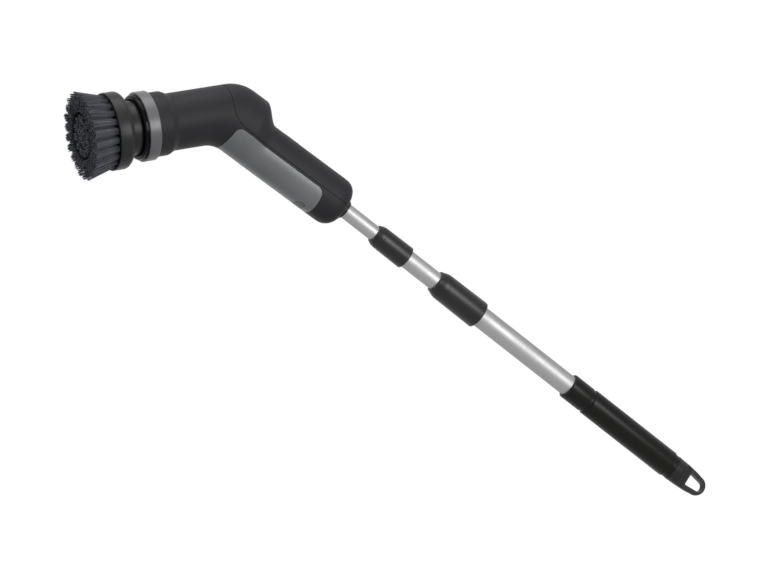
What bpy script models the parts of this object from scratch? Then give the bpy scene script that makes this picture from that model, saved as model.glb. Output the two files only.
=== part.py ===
"""Cordless scrub brush with a bent neck on a three-stage telescopic pole.

Frame: metres, +Z up. The brush faces -X and its axis lies along X. The object is symmetric
about the plane Y = 0. The origin is the middle of the long grip, on the pole's axis.

Four empties carry the pieces. "elbow" stands where the head's axis meets the handle's axis and
keeps the world's directions. "head" has its Z towards the brush and its X up. "handle" and
"pole" have their Z away from the elbow and their X towards the outer, upper side.
"""

import math
from dataclasses import dataclass

import bmesh
import bpy
from mathutils import Matrix, Vector

# Clearances
FIT = 0.0003
RUNNING_GAP = 0.0004
CUT_OVERRUN = 0.003
FRAME_MARK = 0.02

# How far the handle and the pole drop below the head's axis
HANDLE_DROP = math.radians(43.4)
POLE_DROP = math.radians(45.0)

# Housing, measured from the elbow
BARREL_RADIUS = 0.0284
NOSE_FLARE = 0.0034
NOSE_LENGTH = 0.0125
FLARE_LENGTH = 0.0095
ELBOW_TO_NOSE = 0.0710
HANDLE_HALF_HEIGHT = 0.0251
HANDLE_HALF_WIDTH = 0.0235
HANDLE_LENGTH = 0.1628
HEEL_HEIGHT = 0.0412
HEEL_RADIUS = 0.0390
BEND_RADIUS = 0.0300
STEP_START = 0.0352
STEP_LENGTH = 0.0215
STEP_POWER = 0.905
END_DOME_LENGTH = 0.0172
HOUSING_WALL = 0.0030
END_FACE_SHARE = 0.40
DOME_POWER = 2.7
BARREL_POWER = 2.0
HANDLE_POWER = 2.3
HOUSING_SIDES = 24

# Seam between the housing halves
SEAM_BACK = 0.0100
SEAM_RADIUS = 0.0300
SEAM_GAP = 0.0004
SEAM_STEPS = 6

# Soft grip panel, set into the lower half of the handle
PANEL_START = 0.0188
PANEL_END_INSET = 0.0337
PANEL_END_SLANT = 0.0045
PANEL_TOP = -0.0026
PANEL_CORNER = 0.0070
PANEL_THICKNESS = 0.0015
CORNER_STEPS = 3

# Rubber cover of the charge port, across the handle's underside
PORT_INSET = 0.0423
PORT_COVER_WIDTH = 0.0240
PORT_COVER_LENGTH = 0.0092
PORT_SLOT_WIDTH = 0.0100
PORT_SLOT_LENGTH = 0.0044
SOCKET_BODY_WIDTH = 0.0110
SOCKET_BODY_LENGTH = 0.0090
SOCKET_BODY_HEIGHT = 0.0035
SOCKET_MOUTH_WIDTH = 0.0086
SOCKET_MOUTH_LENGTH = 0.0028
SOCKET_MOUTH_DEPTH = 0.0026

# Power button in the handle's upper side
BUTTON_PLACE = 0.0780
BUTTON_LENGTH = 0.0200
BUTTON_WIDTH = 0.0120
BUTTON_TRAVEL = 0.0012
BUTTON_PROUD = 0.0003
BUTTON_DEPTH = 0.0050
BEZEL_WALL = 0.0011
BEZEL_PROUD = 0.0002
BEZEL_DEPTH = 0.0054

# Nose ring, bezel and the plate inside the nose
RING_PROUD = 0.0027
RING_LENGTH = 0.0121
RING_EDGE = 0.0010
RING_WALL = 0.0045
SPIGOT_LENGTH = 0.0037
SPIGOT_WALL = 0.0022
LIP_INSET = 0.0023
LIP_LENGTH = 0.0045
LIP_EDGE = 0.0024
LIP_WALL = 0.0020
LIP_SPIGOT_LENGTH = 0.0060
NOSE_PLATE_THICKNESS = 0.0052
BEARING_BOSS_RADIUS = 0.0145
BEARING_BOSS_LENGTH = 0.0190
BEARING_RADIUS = 0.0110
BEARING_WIDTH = 0.0070
SEAL_WIDTH = 0.0020
BUSH_RADIUS = 0.0075

# Neck, shaft and drive peg
NECK_GAP = 0.0009
NECK_WALL = 0.0026
NECK_BACK_GAP = 0.0035
NECK_LENGTH = 0.0242
NECK_START = ELBOW_TO_NOSE + NECK_BACK_GAP
NECK_FRONT = NECK_START + NECK_LENGTH
NECK_FRONT_WALL = 0.0050
NECK_BOSS_RADIUS = 0.0080
NECK_EDGE = 0.0010
SHAFT_RADIUS = 0.0040
PEG_RADIUS = 0.0058
PEG_LENGTH = 0.0112

# Brush
BRUSH_RADIUS = 0.0384
BRUSH_THICKNESS = 0.0165
BRUSH_BACK_EDGE = 0.0060
BRUSH_RIM = 0.0010
BRUSH_FLOOR = 0.0006
BACKING_THICKNESS = 0.0016
BACKING_PARTING_SHARE = 0.66
BRISTLE_LENGTH = 0.0284
STRAND_RADIUS = 0.00045
STRAND_TIP_SHARE = 0.75
STRAND_ROOT = 0.0008
STRAND_SIDES = 3
OUTER_TUFTS = 24
OUTER_TUFT_INSET = 0.0055
OUTER_TIP_INSET = 0.0002
OUTER_TUFT_STRANDS = 9
OUTER_TIP_SPREAD_OUT = 0.0065
OUTER_TIP_SPREAD_ROUND = 0.0041
TUFT_RADIUS = 0.0024
INNER_ROW_SHARES = ((1, 0.0, 0.0), (6, 0.31, 0.33), (12, 0.61, 0.68))
INNER_TUFT_STRANDS = 5
INNER_TIP_SPREAD = 0.0033
GOLDEN_TURN = math.radians(137.508)

# Motor and planetary gearbox, measured along the head's axis from the elbow
SUN_TEETH = 9
PLANET_TEETH = 12
RING_TEETH = 33
PLANET_COUNT = 3
PRESSURE_ANGLE = math.radians(25)
ADDENDUM_SHARE = 0.8
DEDENDUM_SHARE = 1.05
BACKLASH = 0.00022
GEAR_BACK = 0.0468
GEAR_WIDTH = 0.0106
RING_GEAR_WALL = 0.0022
GEARBOX_PLATE_THICKNESS = 0.0032
CARRIER_THICKNESS = 0.0021
CARRIER_RIM = 0.0058
PLANET_PIN_RADIUS = 0.0020
MOTOR_RADIUS = 0.0180
MOTOR_LENGTH = 0.0397
MOTOR_WALL = 0.0012
MOTOR_BOSS_RADIUS = 0.0065
MOTOR_SHAFT_RADIUS = 0.0016
MOTOR_CAP_THICKNESS = 0.0020
MAGNET_WALL = 0.0030
MAGNET_LENGTH = 0.0280
ARMATURE_LENGTH = 0.0240

# Battery, its tray, the board and the switch in the handle
CELL_RADIUS = 0.0092
CELL_START = 0.0500
CELL_END_INSET = 0.0478
CELL_LIFT = 0.0158
TRAY_END_WALL = 0.0032
TRAY_RIM_DROP = 0.0055
TRAY_FLOOR_DROP = 0.0110
TRAY_FOOT_PLACE = 0.0090
TRAY_FOOT_WIDTH = 0.0020
BOARD_THICKNESS = 0.0016
BOARD_HALF_WIDTH = 0.0155
BOARD_START = 0.0530
BOARD_POST_RADIUS = 0.0025
BOARD_POST_INSET = 0.0040
SWITCH_SIZE = 0.0120
SWITCH_HEIGHT = 0.0050
SWITCH_BODY_SHARE = 0.75
PLUNGER_RADIUS = 0.0018

# Housing screws, put in from under the grip panel
FRONT_SCREW_PLACE = 0.0410
BACK_SCREW_INSET = 0.0387
BACK_SCREW_HALF_SPACING = 0.0145
SCREW_SHANK_RADIUS = 0.0015
SCREW_HEAD_RADIUS = 0.0030
SCREW_HEAD_HEIGHT = 0.0020
SCREW_REACH = 0.0090
BOSS_RADIUS = 0.0040

# Pole socket and its pin
SOCKET_STICK_OUT = 0.0030
SOCKET_WALL = 0.0020
SOCKET_DEPTH = 0.0420
SOCKET_FLANGE_WIDTH = 0.0059
SOCKET_FLANGE_BACK = 0.0120
SOCKET_FLANGE_FRONT = 0.0092
PIN_RADIUS = 0.0020
PIN_PLACE = 0.0280

# Telescopic tubes, measured along the pole from the handle's end
TUBE_WALL = 0.0010
TUBE_STEP = 0.0015
INNER_TUBE_RADIUS = 0.0080
MIDDLE_TUBE_RADIUS = INNER_TUBE_RADIUS + TUBE_STEP
OUTER_TUBE_RADIUS = MIDDLE_TUBE_RADIUS + TUBE_STEP
INNER_TUBE_REST = 0.0470
MIDDLE_TUBE_REST = 0.0590
PLUG_FLANGE = 0.0035
PLUG_SPIGOT = 0.0070

# Twist locks
INNER_COLLAR_START = 0.0391
INNER_COLLAR_LENGTH = 0.0418
INNER_COLLAR_FRONT_WALL = 0.0017
INNER_COLLAR_WALL = 0.0026
MIDDLE_TUBE_SHOWN = 0.0398
OUTER_COLLAR_LENGTH = 0.0583
OUTER_COLLAR_FRONT_WALL = 0.0021
OUTER_COLLAR_WALL = 0.0036
COLLAR_CHAMFER_SHARE = 0.14
COLLAR_SHOULDER_SHARE = 0.85
COLLAR_FRONT_EDGE = 0.0006
COLLAR_EDGE = 0.0008
COLLAR_NOSE_WALL = 0.0034
COLLET_WALL = 0.0010
COLLET_FRONT_GAP = 0.0010
COLLET_FINGER_LENGTH = 0.0070
COLLET_BACK_INSET = 0.0016

# Hand grip and end cap
OUTER_TUBE_SHOWN = 0.1226
GRIP_FRONT_LENGTH = 0.0250
GRIP_FRONT_WALL = 0.0025
GRIP_GROOVE_LENGTH = 0.0034
GRIP_GROOVE_WALL = 0.0019
GRIP_LENGTH = 0.1103
GRIP_WALL = 0.0030
GRIP_EDGE = 0.0007
GRIP_TAIL_LENGTH = 0.0052
CAP_WALL = 0.0022
CAP_SHOULDER = 0.0135
CAP_SHOULDER_WALL = 0.0018
EYE_PLACE = 0.0334
EYE_RADIUS = 0.0104
CAP_SPIGOT_LENGTH = 0.0120
CAP_SPIGOT_WALL = 0.0016
LUG_HALF_THICKNESS = 0.0043
LUG_START = 0.0198
LUG_BLEND_LENGTH = 0.0125
EYE_BACK = 0.0124
EYE_HALF_WIDTH = 0.0069
EYE_TIP_PLACE = 0.0020
EYE_TIP_RADIUS = 0.0054
EYE_CORNER_RADIUS = 0.0010

# Facets
WIDE_STEPS = 28
TURN_STEPS = 18
SMALL_STEPS = 14
COLUMN_STEPS = 8
EDGE_STEPS = 3


# Frames and materials


def handle_point(along, rise):
    """Place (x, z) from the elbow of a point along the handle and above its axis."""
    cosine, sine = math.cos(HANDLE_DROP), math.sin(HANDLE_DROP)
    return Vector((along * cosine + rise * sine, -along * sine + rise * cosine))


def inner_collar_end():
    return INNER_COLLAR_START + INNER_COLLAR_LENGTH


def outer_collar_start():
    return inner_collar_end() + MIDDLE_TUBE_SHOWN


def outer_collar_end():
    return outer_collar_start() + OUTER_COLLAR_LENGTH


def grip_front_start():
    return outer_collar_end() + OUTER_TUBE_SHOWN


def grip_start():
    return grip_front_start() + GRIP_FRONT_LENGTH + GRIP_GROOVE_LENGTH + FIT


def grip_middle():
    """Distance of the long grip's middle along the pole."""
    return grip_start() + GRIP_LENGTH / 2


def frame(name, place, drop):
    """Empty whose Z drops below +X by an angle, with its X on the upper, outer side."""
    forward = Vector((math.cos(drop), 0, -math.sin(drop)))
    outward = Vector((math.sin(drop), 0, math.cos(drop)))
    turn = Matrix((outward, forward.cross(outward), forward)).transposed()
    empty = bpy.data.objects.new(name, None)
    empty.empty_display_size = FRAME_MARK
    empty.matrix_world = Matrix.Translation(place) @ turn.to_4x4()
    bpy.context.scene.collection.objects.link(empty)
    return empty


def make_frames():
    """The four empties, with the middle of the grip at the origin."""
    pole_way = Vector((math.cos(POLE_DROP), 0, -math.sin(POLE_DROP)))
    pole_place = -pole_way * grip_middle()
    reach = handle_point(HANDLE_LENGTH + SOCKET_STICK_OUT, 0)
    elbow_place = pole_place - Vector((reach.x, 0, reach.y))
    frames = {
        "pole": frame("pole", pole_place, POLE_DROP),
        "handle": frame("handle", elbow_place, HANDLE_DROP),
        "head": frame("head", elbow_place, math.pi),
        "elbow": bpy.data.objects.new("elbow", None),
    }
    frames["elbow"].location = elbow_place
    frames["elbow"].empty_display_size = FRAME_MARK
    bpy.context.scene.collection.objects.link(frames["elbow"])
    turn_head = Matrix(((0, 0, -1), (0, 1, 0), (1, 0, 0))).to_4x4()
    frames["head"].matrix_world = Matrix.Translation(elbow_place) @ turn_head
    return frames


def material(name, color, roughness, metallic=0.0):
    """Principled material, made once for each name."""
    found = bpy.data.materials.get(name)
    if found:
        return found
    made = bpy.data.materials.new(name)
    made.use_nodes = True
    shader = made.node_tree.nodes["Principled BSDF"]
    shader.inputs["Base Color"].default_value = (*color, 1.0)
    shader.inputs["Roughness"].default_value = roughness
    shader.inputs["Metallic"].default_value = metallic
    return made


def housing_black():
    return material("housing_black", (0.038, 0.038, 0.042), 0.55)


def gloss_black():
    return material("gloss_black", (0.010, 0.010, 0.012), 0.15)


def fitting_black():
    return material("fitting_black", (0.018, 0.018, 0.020), 0.45)


def grip_black():
    return material("grip_black", (0.022, 0.022, 0.024), 0.65)


def trim_grey():
    return material("trim_grey", (0.18, 0.18, 0.19), 0.40)


def soft_grey():
    return material("soft_grey", (0.14, 0.145, 0.15), 0.75)


def bristle_slate():
    return material("bristle_slate", (0.075, 0.085, 0.11), 0.60)


def aluminium():
    return material("satin_aluminium", (0.72, 0.72, 0.73), 0.30, 1.0)


def steel():
    return material("steel", (0.50, 0.50, 0.52), 0.35, 1.0)


def bronze():
    return material("bronze", (0.45, 0.30, 0.14), 0.50, 1.0)


def nylon():
    return material("nylon", (0.60, 0.60, 0.57), 0.50)


def magnet_grey():
    return material("magnet_grey", (0.06, 0.06, 0.065), 0.60)


def copper():
    return material("copper", (0.72, 0.32, 0.16), 0.35, 1.0)


def cell_wrap():
    return material("cell_wrap", (0.03, 0.20, 0.35), 0.40)


def board_green():
    return material("board_green", (0.02, 0.16, 0.06), 0.50)


# Shapes


def new_object(name, mesh_maker, empty, finish):
    """Object with a mesh from a bmesh, its faces pointing out, under one of the empties."""
    mesh_maker.verts.ensure_lookup_table()
    bmesh.ops.recalc_face_normals(mesh_maker, faces=mesh_maker.faces)
    mesh = bpy.data.meshes.new(name)
    mesh_maker.to_mesh(mesh)
    mesh_maker.free()
    obj = bpy.data.objects.new(name, mesh)
    obj.parent = empty
    bpy.context.scene.collection.objects.link(obj)
    if finish:
        mesh.materials.append(finish)
    return obj


def smooth(obj, limit=math.radians(35)):
    """Shade a round piece smooth between its sharp edges."""
    obj.data.shade_smooth()
    obj.data.set_sharp_from_angle(angle=limit)
    return obj


def turned(name, profile, empty, finish, steps=TURN_STEPS):
    """Solid turned about the empty's Z from a closed outline of (radius, height) points."""
    maker = bmesh.new()
    corners = [maker.verts.new((radius, 0, height)) for radius, height in profile]
    edges = [maker.edges.new(pair) for pair in zip(corners, corners[1:] + corners[:1])]
    bmesh.ops.spin(
        maker,
        geom=corners + edges,
        cent=(0, 0, 0),
        axis=(0, 0, 1),
        angle=2 * math.pi,
        steps=steps,
        use_merge=True,
    )
    bmesh.ops.remove_doubles(maker, verts=maker.verts, dist=FIT / 100)
    flat = [edge for edge in maker.edges if not edge.link_faces]
    bmesh.ops.delete(maker, geom=flat, context="EDGES")
    return smooth(new_object(name, maker, empty, finish))


def rounded_edge(radius, height, inward, forward, size, steps=EDGE_STEPS):
    """Points of a quarter round between a turned side and its end face.

    It starts on the side and ends on the face. inward is -1 where the face lies towards the
    axis, and forward is 1 where the face looks along +Z.
    """
    points = []
    for step in range(steps + 1):
        turn = math.pi / 2 * step / steps
        across = radius + inward * size * (1 - math.cos(turn))
        along = height - forward * size * (1 - math.sin(turn))
        points.append((across, along))
    return points


def prism(name, outline, plane, low, high, empty, finish=None):
    """Outline extruded square to its plane: "xz" along Y, "yz" along X, "xy" along Z."""
    spots = {
        "xz": lambda a, b, depth: (a, depth, b),
        "yz": lambda a, b, depth: (depth, a, b),
        "xy": lambda a, b, depth: (a, b, depth),
    }
    maker = bmesh.new()
    floor = [maker.verts.new(spots[plane](a, b, low)) for a, b in outline]
    roof = [maker.verts.new(spots[plane](a, b, high)) for a, b in outline]
    maker.faces.new(floor)
    maker.faces.new(roof)
    count = len(outline)
    for index in range(count):
        after = (index + 1) % count
        maker.faces.new((floor[index], floor[after], roof[after], roof[index]))
    return new_object(name, maker, empty, finish)


def circle_outline(across, along, radius, steps=SMALL_STEPS):
    """Round outline about a point."""
    turns = [2 * math.pi * step / steps for step in range(steps)]
    return [(across + radius * math.cos(t), along + radius * math.sin(t)) for t in turns]


def rounded_rectangle(low_a, high_a, low_b, high_b, radius, steps=CORNER_STEPS):
    """Rectangle outline with quarter-round corners."""
    corners = (
        (high_a - radius, high_b - radius, 0),
        (low_a + radius, high_b - radius, 1),
        (low_a + radius, low_b + radius, 2),
        (high_a - radius, low_b + radius, 3),
    )
    points = []
    for middle_a, middle_b, quarter in corners:
        for step in range(steps + 1):
            turn = math.pi / 2 * (quarter + step / steps)
            points.append((middle_a + radius * math.cos(turn), middle_b + radius * math.sin(turn)))
    return points


def slot_outline(middle_a, middle_b, length_a, length_b, steps=CORNER_STEPS):
    """Outline with two straight sides and two round ends, or nearly."""
    radius = min(length_a, length_b) / 2 * 0.98
    half_a, half_b = length_a / 2, length_b / 2
    return rounded_rectangle(
        middle_a - half_a, middle_a + half_a, middle_b - half_b, middle_b + half_b, radius, steps
    )


def signed_power(value, exponent):
    return math.copysign(abs(value) ** exponent, value)


# Booleans


def tool(obj):
    """Mark a cutter or guide, which the object itself doesn't hold."""
    obj.hide_render = True
    obj.display_type = "WIRE"
    return obj


def combine(obj, other, operation):
    """Exact Boolean of a piece with another object."""
    step = obj.modifiers.new(f"{operation.lower()}_{other.name}", "BOOLEAN")
    step.operation = operation
    step.solver = "EXACT"
    step.object = tool(other)
    return obj


def cut(obj, *others):
    for other in others:
        combine(obj, other, "DIFFERENCE")
    return obj


def join(obj, *others):
    for other in others:
        combine(obj, other, "UNION")
    return obj


def common(obj, other):
    return combine(obj, other, "INTERSECT")


# Housing form


@dataclass(frozen=True)
class LoftSteps:
    """How many stretches the housing's skin takes over each curved part."""

    flare: int
    fan: int
    step: int
    dome: int


OUTER_LOFT = LoftSteps(flare=3, fan=6, step=5, dome=4)
INNER_LOFT = LoftSteps(flare=2, fan=4, step=3, dome=3)


@dataclass
class Station:
    """Cross-section of the housing, in the plane that holds `up` and the Y direction."""

    foot: Vector
    up: Vector
    low: float
    high: float
    half_width: float
    power: float


def nose_radius():
    return BARREL_RADIUS + NOSE_FLARE


def bend_pivot():
    """Centre (x, z) of the bend's inner radius, under the barrel and the handle."""
    height = -(BARREL_RADIUS + BEND_RADIUS)
    offset = -(HANDLE_HALF_HEIGHT + BEND_RADIUS)
    across = (offset - height * math.cos(HANDLE_DROP)) / math.sin(HANDLE_DROP)
    return Vector((across, height))


def heel_centre():
    """Centre (x, z) of the round corner between the barrel's top and the heel's slope."""
    height = BARREL_RADIUS - HEEL_RADIUS
    offset = HEEL_HEIGHT - HEEL_RADIUS
    across = (offset - height * math.cos(HANDLE_DROP)) / math.sin(HANDLE_DROP)
    return Vector((across, height))


def heel_reach(fan_angle):
    """Distance from the bend's pivot to the housing's outer side, in a plane of the fan."""
    pivot, centre = bend_pivot(), heel_centre()
    first = centre + Vector((0, HEEL_RADIUS)) - pivot
    last = centre + handle_point(0, HEEL_RADIUS) - pivot
    if fan_angle <= math.atan2(first.x, first.y):
        return (BARREL_RADIUS - pivot.y) / math.cos(fan_angle)
    if fan_angle >= math.atan2(last.x, last.y):
        offset = HEEL_HEIGHT + HANDLE_HALF_HEIGHT + BEND_RADIUS
        return offset / math.cos(HANDLE_DROP - fan_angle)
    way = Vector((math.sin(fan_angle), math.cos(fan_angle)))
    towards = way.dot(centre - pivot)
    aside = (centre - pivot).length_squared - towards**2
    return towards + math.sqrt(HEEL_RADIUS**2 - aside)


def ease(share):
    """Smooth step from 0 to 1."""
    share = min(1.0, max(0.0, share))
    return share * share * (3 - 2 * share)


def blend(first, last, share):
    return first + (last - first) * share


def barrel_station(reach, radius):
    return Station(Vector((-reach, 0)), Vector((0, 1)), -radius, radius, radius, BARREL_POWER)


def fan_station(share):
    """Section through the elbow, in a plane that turns about the bend's pivot."""
    angle = HANDLE_DROP * share
    up = Vector((math.sin(angle), math.cos(angle)))
    power = blend(BARREL_POWER, HANDLE_POWER, ease(share) / 2)
    return Station(bend_pivot(), up, BEND_RADIUS, heel_reach(angle), BARREL_RADIUS, power)


def handle_station(along, size_share=1.0):
    """Section square to the handle, with the step down from the heel."""
    share = ease(max(0, (along - STEP_START) / STEP_LENGTH) ** STEP_POWER)
    power = blend((BARREL_POWER + HANDLE_POWER) / 2, HANDLE_POWER, share)
    high = blend(HEEL_HEIGHT, HANDLE_HALF_HEIGHT, share) * size_share
    width = blend(BARREL_RADIUS, HANDLE_HALF_WIDTH, share) * size_share
    low = -HANDLE_HALF_HEIGHT * size_share
    return Station(handle_point(along, 0), handle_point(0, 1), low, high, width, power)


def housing_stations(inset, nose_end, steps):
    """All sections from the nose to the rounded end of the handle, for one inset."""
    flare_end = ELBOW_TO_NOSE - NOSE_LENGTH
    stations = [barrel_station(nose_end, nose_radius())]
    for step in range(steps.flare + 1):
        share = step / steps.flare
        radius = blend(nose_radius(), BARREL_RADIUS, ease(share))
        stations.append(barrel_station(flare_end - FLARE_LENGTH * share, radius))
    stations += [fan_station(step / steps.fan) for step in range(steps.fan + 1)]
    for step in range(steps.step + 1):
        stations.append(handle_station(STEP_START + STEP_LENGTH * step / steps.step))
    dome_start = HANDLE_LENGTH - END_DOME_LENGTH
    stations.append(handle_station(dome_start))
    last_turn = math.acos(END_FACE_SHARE ** (DOME_POWER / 2))
    full = math.sin(last_turn) ** (2 / DOME_POWER)
    for step in range(1, steps.dome + 1):
        turn = last_turn * step / steps.dome
        out = (END_DOME_LENGTH - inset) * math.sin(turn) ** (2 / DOME_POWER) / full
        station = handle_station(dome_start + out)
        shrink = math.cos(turn) ** (2 / DOME_POWER)
        station.low = (station.low + inset) * shrink - inset
        station.high = (station.high - inset) * shrink + inset
        station.half_width = (station.half_width - inset) * shrink + inset
        stations.append(station)
    return stations


def station_ring(station, inset):
    """Points round one section, moved in by the inset."""
    half_height = (station.high - station.low) / 2 - inset
    middle = (station.high + station.low) / 2
    half_width = station.half_width - inset
    exponent = 2 / station.power
    points = []
    for side in range(HOUSING_SIDES):
        turn = 2 * math.pi * side / HOUSING_SIDES
        across = half_width * signed_power(math.cos(turn), exponent)
        spot = station.foot + station.up * (
            middle + half_height * signed_power(math.sin(turn), exponent)
        )
        points.append((spot.x, across, spot.y))
    return points


def housing_form(name, inset, empty, nose_end=ELBOW_TO_NOSE, steps=OUTER_LOFT, finish=None):
    """Closed skin through the housing's sections, moved in by the inset."""
    maker = bmesh.new()
    rings = []
    for station in housing_stations(inset, nose_end, steps):
        rings.append([maker.verts.new(point) for point in station_ring(station, inset)])
    for first, second in zip(rings, rings[1:]):
        for side in range(HOUSING_SIDES):
            after = (side + 1) % HOUSING_SIDES
            maker.faces.new((first[side], first[after], second[after], second[side]))
    maker.faces.new(rings[0])
    maker.faces.new(rings[-1])
    return smooth(new_object(name, maker, empty, finish))


def seam_outline(shift):
    """Outline (x, z) of all that lies behind the seam, moved towards the back by shift."""
    far = HANDLE_LENGTH * 2
    centre_x = SEAM_BACK + SEAM_RADIUS
    centre_z = (SEAM_RADIUS - centre_x * math.sin(HANDLE_DROP)) / math.cos(HANDLE_DROP)
    radius = SEAM_RADIUS - shift
    points = [(SEAM_BACK + shift, far)]
    for step in range(SEAM_STEPS + 1):
        turn = math.pi + (math.pi / 2 - HANDLE_DROP) * step / SEAM_STEPS
        points.append((centre_x + radius * math.cos(turn), centre_z + radius * math.sin(turn)))
    end = handle_point(far, shift)
    return points + [(end.x, end.y), (2 * far, end.y), (2 * far, far)]


def behind_seam(name, shift, frames):
    reach = nose_radius() + CUT_OVERRUN
    return prism(name, seam_outline(shift), "xz", -reach, reach, frames["elbow"])


def panel_outline(grow):
    """Side outline (rise, along) of the soft panel, grown all round."""
    low = -HANDLE_HALF_HEIGHT - PANEL_CORNER - CUT_OVERRUN
    top = PANEL_TOP + grow
    start, end = PANEL_START - grow, HANDLE_LENGTH - PANEL_END_INSET + grow
    points = []
    for rise, along in rounded_rectangle(low, top, start, end, PANEL_CORNER + grow):
        slant = PANEL_END_SLANT * (top - rise) / HANDLE_HALF_HEIGHT
        points.append((rise, along + slant * (along - start) / (end - start)))
    return points


def port_place():
    return HANDLE_LENGTH - PORT_INSET


def port_outline(grow):
    """Outline (across, along) of the charge port's cover, grown all round."""
    width = PORT_COVER_WIDTH + 2 * grow
    length = PORT_COVER_LENGTH + 2 * grow
    return slot_outline(0, port_place(), width, length)


def button_outline(grow):
    """Outline (across, along) of the power button, grown all round."""
    width = BUTTON_WIDTH + 2 * grow
    return slot_outline(0, BUTTON_PLACE, width, BUTTON_LENGTH + 2 * grow, CORNER_STEPS)


def make_housing_tools(frames):
    """Closed skins and prisms that several housing pieces are cut with."""
    elbow, handle = frames["elbow"], frames["handle"]
    side = BARREL_RADIUS + CUT_OVERRUN
    under = -HANDLE_HALF_HEIGHT - CUT_OVERRUN
    over = HANDLE_HALF_HEIGHT + CUT_OVERRUN
    bed = PANEL_THICKNESS + FIT
    nose_cut = ELBOW_TO_NOSE + CUT_OVERRUN
    hole = BEZEL_WALL + RUNNING_GAP + FIT
    tools = {
        "outside": housing_form("outside_form", 0, elbow),
        "cavity": housing_form("cavity_form", HOUSING_WALL, elbow, nose_cut, INNER_LOFT),
        "panel_bed": housing_form("panel_bed_form", bed, elbow),
        "panel_back": housing_form("panel_back_form", PANEL_THICKNESS, elbow),
        "button_crown": housing_form("button_crown_form", -BUTTON_PROUD, elbow),
        "bezel_crown": housing_form("bezel_crown_form", -BEZEL_PROUD, elbow),
        "behind": behind_seam("behind_seam_form", SEAM_GAP / 2, frames),
        "behind_wide": behind_seam("behind_seam_wide_form", -SEAM_GAP / 2, frames),
        "panel": prism("panel_form", panel_outline(FIT), "xz", -side, side, handle),
        "port_slot": prism(
            "port_slot_form",
            slot_outline(0, port_place(), PORT_SLOT_WIDTH, PORT_SLOT_LENGTH),
            "yz",
            under,
            under / 2,
            handle,
        ),
        "port_hole": prism("port_hole_form", port_outline(FIT), "yz", under, under / 2, handle),
        "button_hole": prism(
            "button_hole_form", button_outline(hole), "yz", over / 2, over, handle
        ),
        "pole_hole": turned(
            "pole_hole_form",
            tube_profile(0, socket_radius() + FIT, -SOCKET_FLANGE_BACK, SOCKET_STICK_OUT),
            frames["pole"],
            None,
        ),
    }
    for maker in tools.values():
        tool(maker)
    cut(tools["panel"], tools["panel_bed"])
    return tools


def screw_places():
    """Places (along, across) of the three screws."""
    back = HANDLE_LENGTH - BACK_SCREW_INSET
    side = BACK_SCREW_HALF_SPACING
    return [(FRONT_SCREW_PLACE, 0), (back, side), (back, -side)]


def screw_seat(across):
    """Height of a screw head's seat, which keeps the whole head above the soft panel."""
    rim = abs(across) + SCREW_HEAD_RADIUS
    return floor_height(rim, PANEL_THICKNESS) + SCREW_HEAD_HEIGHT + 2 * FIT


def column(name, low, high, across, along, radius, empty):
    """Round column along the handle's X."""
    outline = circle_outline(across, along, radius, COLUMN_STEPS)
    return tool(prism(name, outline, "yz", low, high, empty))


def make_front_housing(frames, tools):
    """Barrel with its flare and the lower half of the handle, in one moulding."""
    handle = frames["handle"]
    shell = housing_form("front_housing", 0, frames["elbow"], finish=housing_black())
    cut(shell, tools["cavity"])
    for index, (along, across) in enumerate(screw_places(), 1):
        low = floor_height(across, HOUSING_WALL / 2)
        join(shell, column(f"front_boss_{index}", low, 0, across, along, BOSS_RADIUS, handle))
    cut(shell, tools["behind_wide"], tools["panel"], tools["port_slot"], tools["pole_hole"])
    under = -HANDLE_HALF_HEIGHT - CUT_OVERRUN
    for index, (along, across) in enumerate(screw_places(), 1):
        seat = screw_seat(across)
        wide = SCREW_HEAD_RADIUS + FIT
        narrow = SCREW_SHANK_RADIUS + FIT
        cut(shell, column(f"head_bore_{index}", under, seat + FIT, across, along, wide, handle))
        bore = column(f"front_bore_{index}", under, CUT_OVERRUN, across, along, narrow, handle)
        cut(shell, bore)
    return shell


def make_back_cover(frames, tools):
    """Rounded heel and the upper half of the handle, with its bosses and board posts."""
    handle = frames["handle"]
    shell = housing_form("back_cover", 0, frames["elbow"], finish=housing_black())
    cut(shell, tools["cavity"])
    wall_middle = HOUSING_WALL / 2
    for index, (along, across) in enumerate(screw_places(), 1):
        top = inner_rise(along, across) + wall_middle
        join(shell, column(f"back_boss_{index}", 0, top, across, along, BOSS_RADIUS, handle))
    for index, (along, across) in enumerate(board_posts(), 1):
        low = board_rise() + BOARD_THICKNESS + FIT
        top = inner_rise(along, across) + wall_middle
        post = column(f"board_post_{index}", low, top, across, along, BOARD_POST_RADIUS, handle)
        join(shell, post)
    common(shell, tools["behind"])
    cut(shell, tools["button_hole"], tools["pole_hole"])
    for index, (along, across) in enumerate(screw_places(), 1):
        narrow = SCREW_SHANK_RADIUS + FIT
        top = SCREW_REACH + FIT
        cut(shell, column(f"back_bore_{index}", -FIT, top, across, along, narrow, handle))
    return shell


def inner_rise(along, across):
    """Height above the handle's axis of the cavity's upper side."""
    station = handle_station(along)
    half_height = (station.high - station.low) / 2 - HOUSING_WALL
    middle = (station.high + station.low) / 2
    share = abs(across) / (station.half_width - HOUSING_WALL)
    return middle + half_height * (1 - share**station.power) ** (1 / station.power)


def floor_height(across, inset=HOUSING_WALL):
    """Height of the lower side, moved in by the inset, where the handle is straight."""
    share = abs(across) / (HANDLE_HALF_WIDTH - inset)
    height = HANDLE_HALF_HEIGHT - inset
    return -height * (1 - share**HANDLE_POWER) ** (1 / HANDLE_POWER)


def cell_end():
    return HANDLE_LENGTH - CELL_END_INSET


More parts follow.
